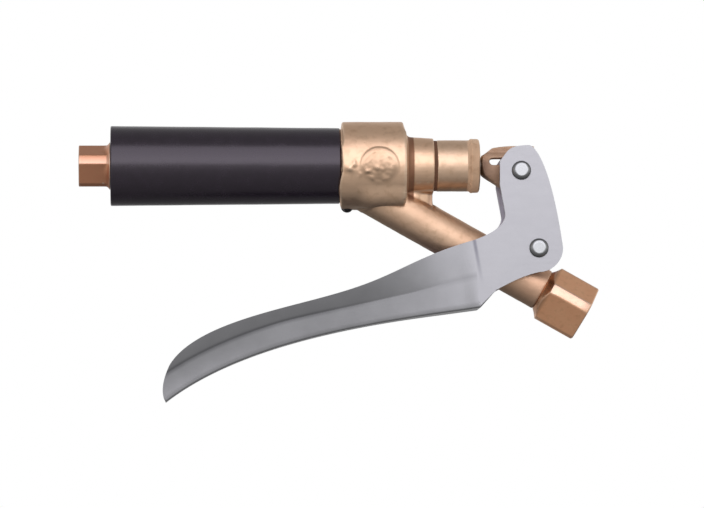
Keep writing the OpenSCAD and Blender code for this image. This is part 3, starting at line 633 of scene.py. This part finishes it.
rows += corner(GRIP_END - GRIP_EDGE, GRIP_BACK_R - GRIP_EDGE, GRIP_EDGE, 90, 0)
rows += [(GRIP_END, GRIP_BORE_R)]
spin(grip, rows, (0, 0, 0), ALONG_X, DOWN, GRIP_AROUND)

# %% [markdown]
# ### Square ends with their threads
# Both ends are square bar with turned corners. A soft maximum of the four flats gives the
# square, and one more limit turns its corners round. A corner faces the camera as a bright strip.
# The thread is a helix in the bore: each row of the bore has the thread's profile, shifted
# by one pitch per turn. Its crests keep the tapping diameter, so a real tail still fits.

# %% Turned square and thread profile
OUTLET_FLATS, OUTLET_CORNER_R, OUTLET_TURN = 17.6, 10.3, math.radians(14)
INLET_FLATS, INLET_CORNER_R, INLET_TURN = 23.4, 14.3, math.radians(8)
SHARPNESS, AROUND = 180, 240


def square(flats, limit, turn):
    """Radii of a square bar whose corners are turned to limit. turn lifts a corner from the front."""
    radii = []
    for k in range(AROUND):
        a = 2 * math.pi * k / AROUND + turn - math.pi / 4
        pull = sum(max(0, math.cos(a - math.pi / 2 * i) / (flats / 2)) ** SHARPNESS for i in range(4))
        radii.append((pull + (1 / limit) ** SHARPNESS) ** (-1 / SHARPNESS))
    return radii


def threaded(start, end, tap_r, depth, pitch, step):
    """Rows of a bore with a thread that fades out at both of its ends."""
    rows = []
    count = max(2, round(abs(end - start) / step))
    for i in range(count + 1):
        x = start + (end - start) * i / count
        fade = min(1, abs(x - start) / pitch, abs(x - end) / pitch)
        radii = []
        for k in range(AROUND):
            phase = (x / pitch - k / AROUND) % 1
            ridge = min(1, max(0, 1.5 - abs(phase - 0.5) * 4))
            radii.append(tap_r + depth * fade * ridge)
        rows.append((x, radii))
    return rows


print("inlet corner", round(max(square(INLET_FLATS, INLET_CORNER_R, INLET_TURN)), 2), "mm from the axis")

# %% Outlet adapter
OUTLET_TAP_R, OUTLET_BORE, SPIGOT_R, CHANNEL_R = 5.6, 11.0, 7.85, 4.0
FLARE_X, FLARE_LENGTH, FLARE_SHARPNESS = 11, 4.4, 24
outlet = new_piece("outlet_square_end", "body", "bar_brass", ["outlet_adapter"])
bar = square(OUTLET_FLATS, OUTLET_CORNER_R, OUTLET_TURN)


def larger(a, b):
    """The larger of two radii, with a soft change from one to the other."""
    return (a ** FLARE_SHARPNESS + b ** FLARE_SHARPNESS) ** (1 / FLARE_SHARPNESS)


rows = [(0.0, 6.9), (0.0, 8.0), (0.0, square(17.2, 10.0, OUTLET_TURN))]
rows += [(x, bar) for x in (0.25, 0.6, 3, 6, 9, FLARE_X)]
for x in [11.4 + 0.4 * i for i in range(11)]:
    flare = 8.3 + 3.5 * ((x - FLARE_X) / FLARE_LENGTH) ** 2
    rows.append((x, [larger(r, flare) for r in bar]))
rows += [(15.6, 11.7), (15.6, 9.0), (15.6, SPIGOT_R), (27.3, SPIGOT_R), (27.6, 7.5), (27.6, CHANNEL_R)]
rows += [(OUTLET_BORE, CHANNEL_R), (OUTLET_BORE, OUTLET_TAP_R)]
rows += threaded(10.8, 1.2, OUTLET_TAP_R, depth=0.62, pitch=1.337, step=0.19)
rows += [(0.6, 5.9), (0.15, 6.45)]
spin(outlet, rows, (0, 0, 0), ALONG_X, DOWN, AROUND)

# %% Inlet coupling
INLET_TAP_R = 9.1
LEG_ZERO = Vector((-math.sin(LEG_ANGLE), 0, -math.cos(LEG_ANGLE)))
inlet = new_piece("inlet_square_end", "body", "bar_brass", ["inlet_coupling"])
shoulder = [(126.45, 10.2), (127.0, 10.7), (127.6, 11.3), (128.2, 12.0), (128.8, 12.8), (129.3, 13.5)]
shoulder += [(129.6, 14.0)] + [(x, INLET_CORNER_R) for x in (129.9, 134, 140, 146, 150.2)] + [(150.7, 14.1)]
rows = [(126.3, 9.25), (126.3, 9.9)]
rows += [(x, square(INLET_FLATS, limit, INLET_TURN)) for x, limit in shoulder]
rows += [(151.0, square(23.0, 13.7, INLET_TURN))]
rows += [(151.0, 11.0), (151.0, 10.7), (150.8, 10.35), (150.2, 9.75)]
rows += threaded(149.6, 139.9, INLET_TAP_R, depth=0.85, pitch=1.814, step=0.22)
rows += [(139.5, INLET_TAP_R), (139.5, 9.7), (137.0, 9.7), (137.0, 7.0), (134.05, 7.0), (134.05, 9.25)]
spin(inlet, rows, LEG_ROOT, LEG_WAY, LEG_ZERO, AROUND)

# %% [markdown]
# ### Rivets
# Each rivet is a plain pin with a low flat head on the near side and an end that was
# spread over a washer on the far side. The rounded rim of the head mirrors the dark of the room
# as a ring around a bright flat, so the rounding matters more than the height. The pin finish
# also paints that ring darker, most on its lower left, as painted shade.

# %% Rivets
# Both seats are measured from the middle plane. The spread end has pairs of height and radius.
NEAR_SEAT, FAR_SEAT, PIN_R = 14.27, 15.32, 2.5
HEAD_R, HEAD_H, HEAD_ROUND = 4.8, 2.2, 2.1
SPREAD_END = ((1.5, 0.0), (1.5, 1.8), (1.35, 2.5), (0.8, 3.4), (0.3, 3.95), (0.08, 4.0), (0, 3.9))
joint = next(j for j in frame["joints"] if j["name"] == "lever_pivot")
PIVOT = Vector(joint["pos_m"]) / MM
low_corner, high_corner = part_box("yoke_pin")
UPPER_PIN = Vector(((low_corner.x + high_corner.x) / 2, 0, (low_corner.z + high_corner.z) / 2)) / MM
for name, node, point in (("lower_rivet", "pivot_pin", PIVOT), ("upper_rivet", "yoke_pin", UPPER_PIN)):
    rivet = new_piece(name, "lever_arm", "pin_steel", [node])
    rows = [(-FAR_SEAT - height, r) for height, r in SPREAD_END]
    rows += [(-FAR_SEAT, PIN_R), (NEAR_SEAT, PIN_R), (NEAR_SEAT, HEAD_R - 0.1), (NEAR_SEAT + 0.12, HEAD_R)]
    rows += corner(NEAR_SEAT + HEAD_H - HEAD_ROUND, HEAD_R - HEAD_ROUND, HEAD_ROUND, 90, 0, 8)
    rows += [(NEAR_SEAT + HEAD_H, 2.6), (NEAR_SEAT + HEAD_H, 0.0)]
    spin(rivet, rows, point, (0, -1, 0), DOWN, 64)

# %% [markdown]
# ## Castings
# Cast brass has no sharp inner corner: metal has filled each one with a fillet, and the skin is
# a little uneven. Modelling every fillet by hand would be slow, so a fine voxel remesh
# of the solid is smoothed until its corners round off, and noise then moves its skin.

# %% A casting from its solid
def casting(name, body, node, voxel_mm, rounds, finish, reshape=None):
    """A smoothed remesh of a solid. reshape may move the solid's corners first."""
    piece = new_piece(name, body, finish, [node])
    bm = bmesh.new()
    bm.from_mesh(nodes[node].data)
    for vert in bm.verts if reshape else []:
        reshape(vert)
    bmesh.ops.remove_doubles(bm, verts=bm.verts, dist=1e-6)
    bm.to_mesh(piece.data)
    bm.free()
    remesh = piece.modifiers.new("skin", "REMESH")
    remesh.mode = "VOXEL"
    remesh.voxel_size = voxel_mm * MM
    soften = piece.modifiers.new("fillets", "SMOOTH")
    soften.factor = 0.5
    soften.iterations = rounds
    shaped = piece.evaluated_get(bpy.context.evaluated_depsgraph_get())
    mesh = bpy.data.meshes.new_from_object(shaped)
    piece.modifiers.clear()
    piece.data = mesh
    mesh.name = name
    mesh.shade_smooth()
    print(name, len(mesh.polygons), "faces")
    return piece


COLLAR_R = 22.0


def sink_pad(vert):
    """The flat pad sinks into the round collar, because its relief is added later."""
    if vert.co.y < -(COLLAR_R + 0.02) * MM:
        vert.co.y = -math.sqrt((COLLAR_R * MM) ** 2 - vert.co.z ** 2)


body = casting("cast_valve_body", "body", "valve_body", 0.5, 3, "cast_brass", sink_pad)
nut = casting("cast_packing_nut", "body", "packing_nut", 0.4, 3, "nut_brass")
yoke = casting("cast_yoke", "stem", "stem_yoke", 0.35, 24, "yoke_brass")

# %% Points of a casting
def points_of(piece):
    """The piece's vertices in mm, and their normals."""
    mesh = piece.data
    co = np.zeros(len(mesh.vertices) * 3)
    no = np.zeros(len(mesh.vertices) * 3)
    mesh.vertices.foreach_get("co", co)
    mesh.vertices.foreach_get("normal", no)
    return co.reshape(-1, 3) / MM, no.reshape(-1, 3)


def put_points(piece, points):
    """Moves the piece's vertices to places in mm."""
    piece.data.vertices.foreach_set("co", (points * MM).ravel())
    piece.data.update()


def lumps(points, size_mm, seed):
    """Smooth noise from about -1 to 1 at each point."""
    return np.array([noise.noise(Vector(p) / size_mm + Vector((seed, seed, seed))) for p in points])


def ease(x, low, high):
    """0 below low, 1 above high, smooth between."""
    s = np.clip((x - low) / (high - low), 0, 1)
    return s * s * (3 - 2 * s)


def plateau(x, begins, full, fades, gone):
    """1 inside a stretch, 0 outside it, smooth at its two ends."""
    return ease(x, begins, full) * (1 - ease(x, fades, gone))


print("castings can be reshaped")

# %% [markdown]
# ### The skin of the valve body
# The collar carries a round cast pad. Here it stays a bare pad: a raised arch with plain
# lumps inside it. Left of the pad the casting swells, its belly hangs lower towards the right,
# the web under the neck narrows, and the collar's edge against the grip is wavy.
# Most of it is height added along the normals, each lump with its own soft edge.

# %% The web, and the ground for the pad
points, normals = points_of(body)
x, y, z = points.T
front = ease(-y, 12, 16) * ease(-normals[:, 1], 0.2, 0.5)
above_pad = z - PAD_Z
from_pad = np.hypot(x - PAD_X, above_pad)
on_pad = (from_pad < PAD_R + 1) & (y < -15)
y[on_pad] = -np.sqrt(COLLAR_R ** 2 - z[on_pad] ** 2)
above_leg = (points - np.array(LEG_ROOT)) @ np.array(LEG_UP)
web = plateau(x, 166, 168, 176.6, 177.4) * ease(-z, 12.6, 14.2)
web *= ease(above_leg, 7.0, 9.5) * ease(np.hypot(y, z), 14.5, 15.2)
y *= 1 - 0.45 * web * ease(x, 167, 176)
put_points(body, points)
print("pad stands on", int(on_pad.sum()), "points")

# %% Pad, lumps and belly of the valve body
points, normals = points_of(body)
x, y, z = points.T


def bump(at_x, at_z, wide, high):
    """A round hill on the front of the collar."""
    return front * np.exp(-((x - at_x) / wide) ** 2 - ((z - at_z) / high) ** 2)


raised = 1 - ease(from_pad, PAD_R - 0.9, PAD_R + 0.3)
arch = np.exp(-(from_pad - 7.7) ** 2)
hollow = 1 - ease(from_pad, 6.4, 8.2)
uneven = 0.07 * lumps(points, 7, 3.1) + 0.04 * lumps(points, 2.6, 8.7)
uneven += front * ease(above_pad, -7.5, 1.5) * (0.55 * raised + 0.2 * arch)
uneven += front * hollow * (0.38 * lumps(points, 3.3, 5.5) + 0.2 * lumps(points, 1.8, 2.2))
uneven += 0.55 * bump(142.9, -4.5, 1.1, 1.0) + 0.6 * bump(147.7, -2.8, 1.2, 1.3)
uneven += bump(135.2, -2.0, 2.6, 3.0) * (0.55 + 0.5 * lumps(points, 2.0, 1.3))
uneven += 0.7 * bump(134.7, -3.4, 1.0, 1.2) + 0.6 * bump(136.3, -0.4, 0.9, 1.7)
uneven += bump(139.0, -5.0, 2.0, 2.2) * (0.3 + 0.4 * lumps(points, 1.8, 6.3))
under_neck = ease(x, 163.5, 166) * plateau(-z, 13.2, 14.5, 20.5, 22.5)
uneven += under_neck * (0.2 * lumps(points, 3.2, 7.7) + 0.08 * lumps(points, 1.5, 3.9))
radius = np.hypot(y, z)
outward = (normals[:, 1] * y + normals[:, 2] * z) / radius
on_collar = plateau(x, 131, 132, 161.2, 162.2) * plateau(radius, 20.5, 21.5, 22.8, 23.6)
belly = (0.6 + 1.9 * ease(x, 137, 146)) * on_collar * ease(outward, 0.75, 0.95) * ease(-z, 11, 19)
uneven += belly * np.maximum(ease(-y, 4, 10), ease(x, 138, 146))
points += normals * uneven[:, None]
print("skin moved by up to", round(float(np.abs(uneven).max()), 2), "mm")

# %% The two ends of the collar
RIGHT_END_X = 162.9
# How far the left edge reaches over the grip, by height.
WAVE_Z = (-20, -19, -13, -9, -5, 0, 4, 8, 9.5, 11)
WAVE_REACH = (1.6, 1.8, 2.7, 2.3, 1.3, 1.2, 1.4, 1.6, 1.0, 0.6)
right_end = ease(x, 158, 160) * (x < 163.2) * ease(radius, 14.8, 16.5)
right_end *= ease(-y, 11, 16) * ease(normals[:, 0], 0.1, 0.45)
x += 0.8 * right_end * (RIGHT_END_X - x)
left_end = ease(np.hypot(y, z), 18.6, 19.4) * (1 - ease(x, 132.0, 136.0))
near = ease(-y, 0, 6)
reach = near * np.interp(z, WAVE_Z, WAVE_REACH) + (1 - near) * (0.9 - 0.3 * ease(z, 6, 10))
x -= left_end * (reach + 0.15 * lumps(points, 3.0, 4.4))
put_points(body, points)
print("collar edge reaches", round(float(x[left_end > 0.9].min()), 2), "mm")

# %% [markdown]
# ### The skin of the nut and the yoke
# Both have the same uneven skin as the valve body. The nut ends in a matt rim with a lumpy
# lip. The yoke is a flat blade with rounded sides, and its upper edge rises towards the lever.

# %% Uneven skin of the nut and the yoke
LIP_X, LIP_WIDTH, LIP_HIGH, RIM_X = 195.6, 0.7, 0.15, 193.2
BLADE_X, BLADE_MIDDLE_Z, BLADE_HALF, EDGE_RISE = 201.5, -2.8, 10, 1.2


def roughened(piece, amount):
    """The piece's points, moved by an uneven skin, and their normals."""
    points, normals = points_of(piece)
    points += normals * (amount * (lumps(points, 4, 2.0) + 0.6 * lumps(points, 1.6, 7.0)))[:, None]
    return points, normals


points, normals = roughened(nut, 0.05)
x, y, z = points.T
lip = np.exp(-((x - LIP_X) / LIP_WIDTH) ** 2) * ease(np.hypot(y, z), 12, 12.6)
points += normals * (LIP_HIGH * lip * (1 + 1.3 * lumps(points, 2.0, 9.0)))[:, None]
nut.data.materials.append(finishes["rim_brass"])
for face in nut.data.polygons:
    face.material_index = int(face.center.x > RIM_X * MM)
put_points(nut, points)

points, normals = roughened(yoke, 0.08)
x, y, z = points.T
z += EDGE_RISE * ease(x, 202.5, 216) * ease(z, 5.0, 8.0)
rounded = np.sqrt(np.clip(1 - 0.9 * ((z - BLADE_MIDDLE_Z) / BLADE_HALF) ** 2, 0.2, 1))
y *= np.where(x > BLADE_X, rounded, 1)
put_points(yoke, points)
print("nut and yoke uneven")

# %% [markdown]
# ## Lever
# The lever is one steel sheet: two flat head plates that hold the rivets, folded at the lower
# edge into a channel, the handle. The channel's sides stand upright by the head and
# open outwards along the handle above a sharp crease. It could be a subdivided cage, but the side
# curves decide its look, so the sheet is lofted: sections are placed along the lower curve,
# turned to stay square with it, and cut where they meet the upper curve.

# %% Side curves of the lever, in mm from the pivot
SHEET, BEND_R, INNER_R = 2.5, 0.9, 0.5
HEAD_HALF, TIP_HALF = 14.2, 11.0
FOLD_TOP, FOLD_LOW = (-32.4, 3.9), (-29.1, -29.5)
TIP_TOP, TIP_LOW = (-183.2, -57.3), (-185.1, -75.8)
TOP_CURVE = [FOLD_TOP, (-89.8, -12.4), (-67.8, -27.8), (-161.7, -23.4), TIP_TOP]
LOW_CURVE = [FOLD_LOW, (-57.7, -34), (-139.9, -40.7), TIP_LOW]
TIP_CURVE = [TIP_TOP, (-189.05, -69.25), TIP_LOW]


def bezier(points, t):
    """A point of a Bezier curve of any degree."""
    points = [np.array(p, float) for p in points]
    while len(points) > 1:
        points = [a * (1 - t) + b * t for a, b in zip(points, points[1:])]
    return points[0]


def curve(points, steps, first=0):
    """Points along a Bezier curve, from the first step on."""
    return [bezier(points, i / steps) for i in range(first, steps + 1)]


BEYOND_FOLD = (FOLD_TOP[0] + 6, FOLD_TOP[1] + 1.8)
OUTLINE = np.array([BEYOND_FOLD] + curve(TOP_CURVE, 240) + curve(TIP_CURVE, 80, 1))
print("outline of", len(OUTLINE), "points")

# %% Direction and depth of the sections
FOLD_ANGLE = math.atan2(FOLD_TOP[1] - FOLD_LOW[1], FOLD_TOP[0] - FOLD_LOW[0])
TIP_ANGLE = math.radians(126)


def section_way(t):
    """The way up in the section at t, from 0 at the fold to 1 at the tip."""
    a = FOLD_ANGLE + (TIP_ANGLE - FOLD_ANGLE) * t * t
    return np.array([math.cos(a), math.sin(a)])


def cut_height(t):
    """Height at which the section at t leaves the lever's side outline."""
    foot, way_up = bezier(LOW_CURVE, t), section_way(t)
    across = (OUTLINE - foot) @ np.array([-way_up[1], way_up[0]])
    cuts = [0.0] if t >= 1 else []
    for i in np.nonzero(across[:-1] * across[1:] <= 0)[0]:
        f = across[i] / (across[i] - across[i + 1])
        h = float((OUTLINE[i] + (OUTLINE[i + 1] - OUTLINE[i]) * f - foot) @ way_up)
        if h >= 0:
            cuts.append(h)
    return min(cuts)


print("handle depth", [round(cut_height(t), 1) for t in (0, 0.25, 0.5, 0.75, 0.95)])

# %% The section of the channel
FOLD_DEPTH, GRIP_DEPTH, TRIM = 33.56, 18.2, 1.2
SIDE_LEAN, FOLD_LEAN = math.radians(6.4), math.radians(2)
EDGE_FLARE, FLARE_CURL, SIDE_CURL = math.radians(24.4), 0.15, 0.54


class Section:
    """Half of the channel's section at t: half widths by height above the web."""

    def __init__(self, t):
        def grown(low, high):
            return float(ease(t, low, high))

        opened = 0.12 * grown(0, 0.08) + 0.88 * grown(0.1, 0.48)
        self.depth = FOLD_DEPTH + (GRIP_DEPTH - FOLD_DEPTH) * grown(0, 0.5)
        self.crease = self.depth * (0.475 + 0.125 * grown(0.2, 0.52) + 0.035 * grown(0.5, 0.65))
        self.rise = self.depth + TRIM - self.crease
        self.lean = math.tan(SIDE_LEAN * opened + FOLD_LEAN * grown(0, 0.08))
        self.curl = SIDE_CURL * grown(0.6, 0.85)
        self.flare = math.tan(EDGE_FLARE * opened)
        edge_half = HEAD_HALF + (TIP_HALF - HEAD_HALF) * grown(0.3, 1)
        self.waist = edge_half - self.rise * self.flare
        self.foot = self.side(0) - BEND_R
        self.cut = cut_height(t)

    def side(self, h):
        """Half width without the bend at the web."""
        if h <= self.crease:
            below = self.crease - h
            return self.waist - self.lean * ((1 + self.curl) * below - self.curl * below ** 2 / self.crease)
        s = (h - self.crease) / self.rise
        return self.waist + self.rise * self.flare * s * (1 + FLARE_CURL * (1 - s))

    def outer(self, h):
        """Half width of the outside."""
        if h >= BEND_R:
            return self.side(h)
        return self.foot + (self.side(h) - self.foot) * math.sqrt(max(0, 1 - (1 - h / BEND_R) ** 2))

    def inner(self, h):
        """Half width of the inside, one sheet further in."""
        slope = self.lean if h <= self.crease else self.flare
        wall = self.side(h) - SHEET * math.sqrt(1 + slope * slope)
        up = h - SHEET
        if up >= INNER_R:
            return wall
        return wall - INNER_R * (1 - math.sqrt(max(0, 1 - (1 - up / INNER_R) ** 2)))

    def columns(self, foot, radius):
        """Heights of the section's points above its web: bend, side, crease and flared edge."""
        bend = [foot + radius * (1 - math.cos(math.radians(a))) for a in (0, 22, 45, 67, 90)]
        low = np.linspace(bend[-1], self.crease - 0.35, 7)[1:]
        high = np.linspace(self.crease + 0.35, self.depth + TRIM, 10)
        return bend + list(low) + [self.crease] + list(high)


sample = Section(0.6)
print("half width at 0.6: waist", round(sample.waist, 1), "edge", round(sample.outer(sample.cut), 1), "mm")

# %% Lofting the handle
# Stations lie a little closer towards the tip, and three more hold the fold sharp.
STATIONS, CROWDING, FOLD_STATIONS = 110, 1.25, [0.0025, 0.005, 0.0075]
lever = new_piece("folded_lever", "lever_arm", "lever_steel", ["lever"])
bm = bmesh.new()
crease_shade_layer = bm.verts.layers.float.new("crease")


def place_on_lever(t, y, h):
    """A point of the section at t, in metres."""
    x, z = bezier(LOW_CURVE, t) + section_way(t) * h
    return (PIVOT + Vector((x, y, z))) * MM


stations = sorted([1 - (1 - i / STATIONS) ** CROWDING for i in range(STATIONS + 1)] + FOLD_STATIONS)
t_web = min(t for t in stations if cut_height(t) <= SHEET + 0.4 and t > 0.9)
rings = []
for t in stations:
    section = Section(t)
    inside_t = min(t, t_web)
    inside = Section(inside_t)
    top = max(inside.cut, SHEET)
    outer = [(0.0, 0.0), (section.foot / 2, 0.0)]
    outer += [(section.outer(h), h) for h in np.minimum(section.columns(0, BEND_R), section.cut)]
    inner = [(0.0, SHEET), (inside.inner(SHEET) / 2, SHEET)]
    inner += [(inside.inner(h), h) for h in np.minimum(inside.columns(SHEET, INNER_R), top)]
    ring = [place_on_lever(t, -y, h) for y, h in reversed(outer)]
    ring += [place_on_lever(t, y, h) for y, h in outer[1:]]
    ring += [place_on_lever(inside_t, y, h) for y, h in reversed(inner)]
    ring += [place_on_lever(inside_t, -y, h) for y, h in inner[1:]]
    rings.append([bm.verts.new(p) for p in ring])
    # The crease's painted shade, stored in the mesh for the lever finish: a narrow band at the crease height,
    # strongest towards the tip.
    strength = float(0.35 * ease(t, 0, 0.004) - 0.25 * ease(t, 0.1, 0.25) + 0.9 * ease(t, 0.3, 0.6))
    shade = [strength * math.exp(-((h - section.crease) / 0.8) ** 2) for y, h in outer]
    for vert, value in zip(rings[-1], shade[::-1] + shade[1:]):
        vert[crease_shade_layer] = value
for row, after in zip(rings, rings[1:]):
    strip(bm, row, after)
print("rings", len(rings), "of", len(rings[0]), "points")

# %% [markdown]
# ### Head plates
# The plates continue the sheet from the first ring of the handle, so that the fold is one skin.
# An outline of a few curves is joined to that ring, and a fill leaves the two rivet holes
# open. Both faces of a plate are filled in the same way, and strips close its edges.

# %% Outline of the head, in mm from the pivot
PIN = UPPER_PIN - PIVOT
PIVOT_R, HOLE_R, HOLE_SIDES = 12.0, 2.55, 32


def by_pin(x, z):
    """A point that is given from the upper rivet."""
    return (PIN.x + x, PIN.z + z)


crown = by_pin(6.9, 10.4)
head = curve([FOLD_TOP, (-23, 7), (-15.8, 12), (-16.6, 17.5)], 12, 1)
head += [by_pin(-10.7, -6.9), by_pin(-10.6, 4.6)]
head += curve([by_pin(-7.2, 9.2), by_pin(-4.9, 11.9), by_pin(-0.5, 12.3)], 6)
head += curve([by_pin(2.9, 12.6), by_pin(5.4, 12.8), crown], 5)[:-1]
head += curve([crown, by_pin(13.4, 2.5), (PIVOT_R - 2.5, 19), (PIVOT_R, 0)], 16)
head += [(PIVOT_R * math.cos(a), -PIVOT_R * math.sin(a)) for a in np.linspace(0, math.pi / 2, 10)[1:]]
head += curve([(0, -PIVOT_R), (-8, -13.8), (-14, -17), (-21.3, -20.8)], 10, 1)
hole_angles = np.linspace(0, 2 * math.pi, HOLE_SIDES, endpoint=False)
holes = [[(middle.x + HOLE_R * math.cos(a), middle.z + HOLE_R * math.sin(a)) for a in hole_angles]
         for middle in (Vector((0, 0, 0)), PIN)]
print("head of", len(head), "points")

# %% Plates with their holes
def plate_loop(y, points):
    """New points of a plate at that depth."""
    return [bm.verts.new((PIVOT + Vector((x, y, z))) * MM) for x, z in points]


def joined(verts):
    """The edges of a closed loop."""
    return [bm.edges.get(pair) or bm.edges.new(pair) for pair in zip(verts, verts[1:] + verts[:1])]


first, last = rings[0], rings[-1]
span = len(first) // 2
side_count = len(outer) - 2
for sign in (-1, 1):
    if sign < 0:
        outer_side = first[:side_count]
        inner_side = first[2 * span - side_count:][::-1]
    else:
        outer_side = first[span - side_count:span][::-1]
        inner_side = first[span:span + side_count]
    outer_rim = plate_loop(sign * HEAD_HALF, head)
    inner_rim = plate_loop(sign * (HEAD_HALF - SHEET), head)
    hole_loops = []
    for side, rim, y in ((outer_side, outer_rim, HEAD_HALF), (inner_side, inner_rim, HEAD_HALF - SHEET)):
        edges = joined(side[::-1] + rim)
        hole_loops.append([plate_loop(sign * y, hole) for hole in holes])
        for loop in hole_loops[-1]:
            edges += joined(loop)
        bmesh.ops.triangle_fill(bm, use_beauty=True, edges=edges, normal=(0, sign, 0))
    for outer_hole, inner_hole in zip(*hole_loops):
        strip(bm, outer_hole, inner_hole)
    outer_edge = [outer_side[0]] + outer_rim + [outer_side[-1]]
    strip(bm, outer_edge, [inner_side[0]] + inner_rim + [inner_side[-1]], closed=False)
print("plates filled")

# %% Closing the lever
web_outer = first[side_count - 1:span - side_count + 1]
web_inner = first[span + side_count - 1:2 * span - side_count + 1][::-1]
strip(bm, web_outer, web_inner, closed=False)
strip(bm, last[:span], last[span:][::-1], closed=False)
fill(lever, bm)
for face in lever.data.polygons:
    face.use_smooth = abs(face.normal.y) < 0.99999
rounding = lever.modifiers.new("rounded_edges", "BEVEL")
rounding.width = 0.35 * MM
rounding.segments = 3
rounding.limit_method = "ANGLE"
rounding.angle_limit = math.radians(50)
rounding.harden_normals = True
print("lever box", [round(v, 4) for v in lever.dimensions])

# %% [markdown]
# ## The return spring
# The coil is wound where the solid one stands. How short it would have to become as the stem
# is drawn is worked out from the stem's slide and printed.

# %% Coil, and how short the stem's slide would make it
COIL_TURNS, COIL_STEPS, WIRE_SIDES, WIRE_R = 7, 40, 12, 0.7
coil_low, coil_high = (Vector(end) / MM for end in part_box("return_spring"))
coil_r = coil_high.z - WIRE_R
coil_from, coil_to = coil_low.x + WIRE_R, coil_high.x - WIRE_R
coil = new_piece("closing_coil", "body", "pin_steel", ["return_spring"])
bm = bmesh.new()
wound = []
for i in range(COIL_TURNS * COIL_STEPS + 1):
    turned = 2 * math.pi * i / COIL_STEPS
    out = Vector((0, math.cos(turned), math.sin(turned)))
    along = coil_from + (coil_to - coil_from) * i / (COIL_TURNS * COIL_STEPS)
    ring = []
    for k in range(WIRE_SIDES):
        b = 2 * math.pi * k / WIRE_SIDES
        point = out * (coil_r + WIRE_R * math.cos(b)) + Vector((along + WIRE_R * math.sin(b), 0, 0))
        ring.append(bm.verts.new(point * MM))
    wound.append(ring)
for row, after in zip(wound, wound[1:]):
    strip(bm, row, after)
bm.faces.new(wound[0])
bm.faces.new(wound[-1])
fill(coil, bm)
slide = next(j for j in frame["joints"] if j["name"] == "stem_slide")
shortest = 1 - slide["range_m"][1] / ((coil_high.x - coil_low.x) * MM)
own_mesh(coil)
print("coil from", round(coil_low.x, 2), "to", round(coil_high.x, 2), "keeps", round(shortest, 3))

# %% [markdown]
# ## Pieces that stay as they are
# The small inner parts and the screw already have their real shape in the frame. They keep
# their meshes and get a finish. A weld and a small bevel soften their edges.

# %% Finishes of the remaining solids
slot_of = {sub["node"]: sub["material_slot"] for sub in frame["record"]["subparts"]}
for name, solid in nodes.items():
    solid.data.materials.clear()
    solid.data.materials.append(finishes[slot_of[name]])
    if solid.hide_render:
        continue
    weld = solid.modifiers.new("weld", "WELD")
    weld.merge_threshold = 1e-6
    soft_edge = solid.modifiers.new("soft_edge", "BEVEL")
    soft_edge.width = 0.15 * MM
    soft_edge.segments = 2
    soft_edge.limit_method = "ANGLE"
    soft_edge.angle_limit = math.radians(40)
print("kept solids:", sorted(n for n, o in nodes.items() if not o.hide_render))
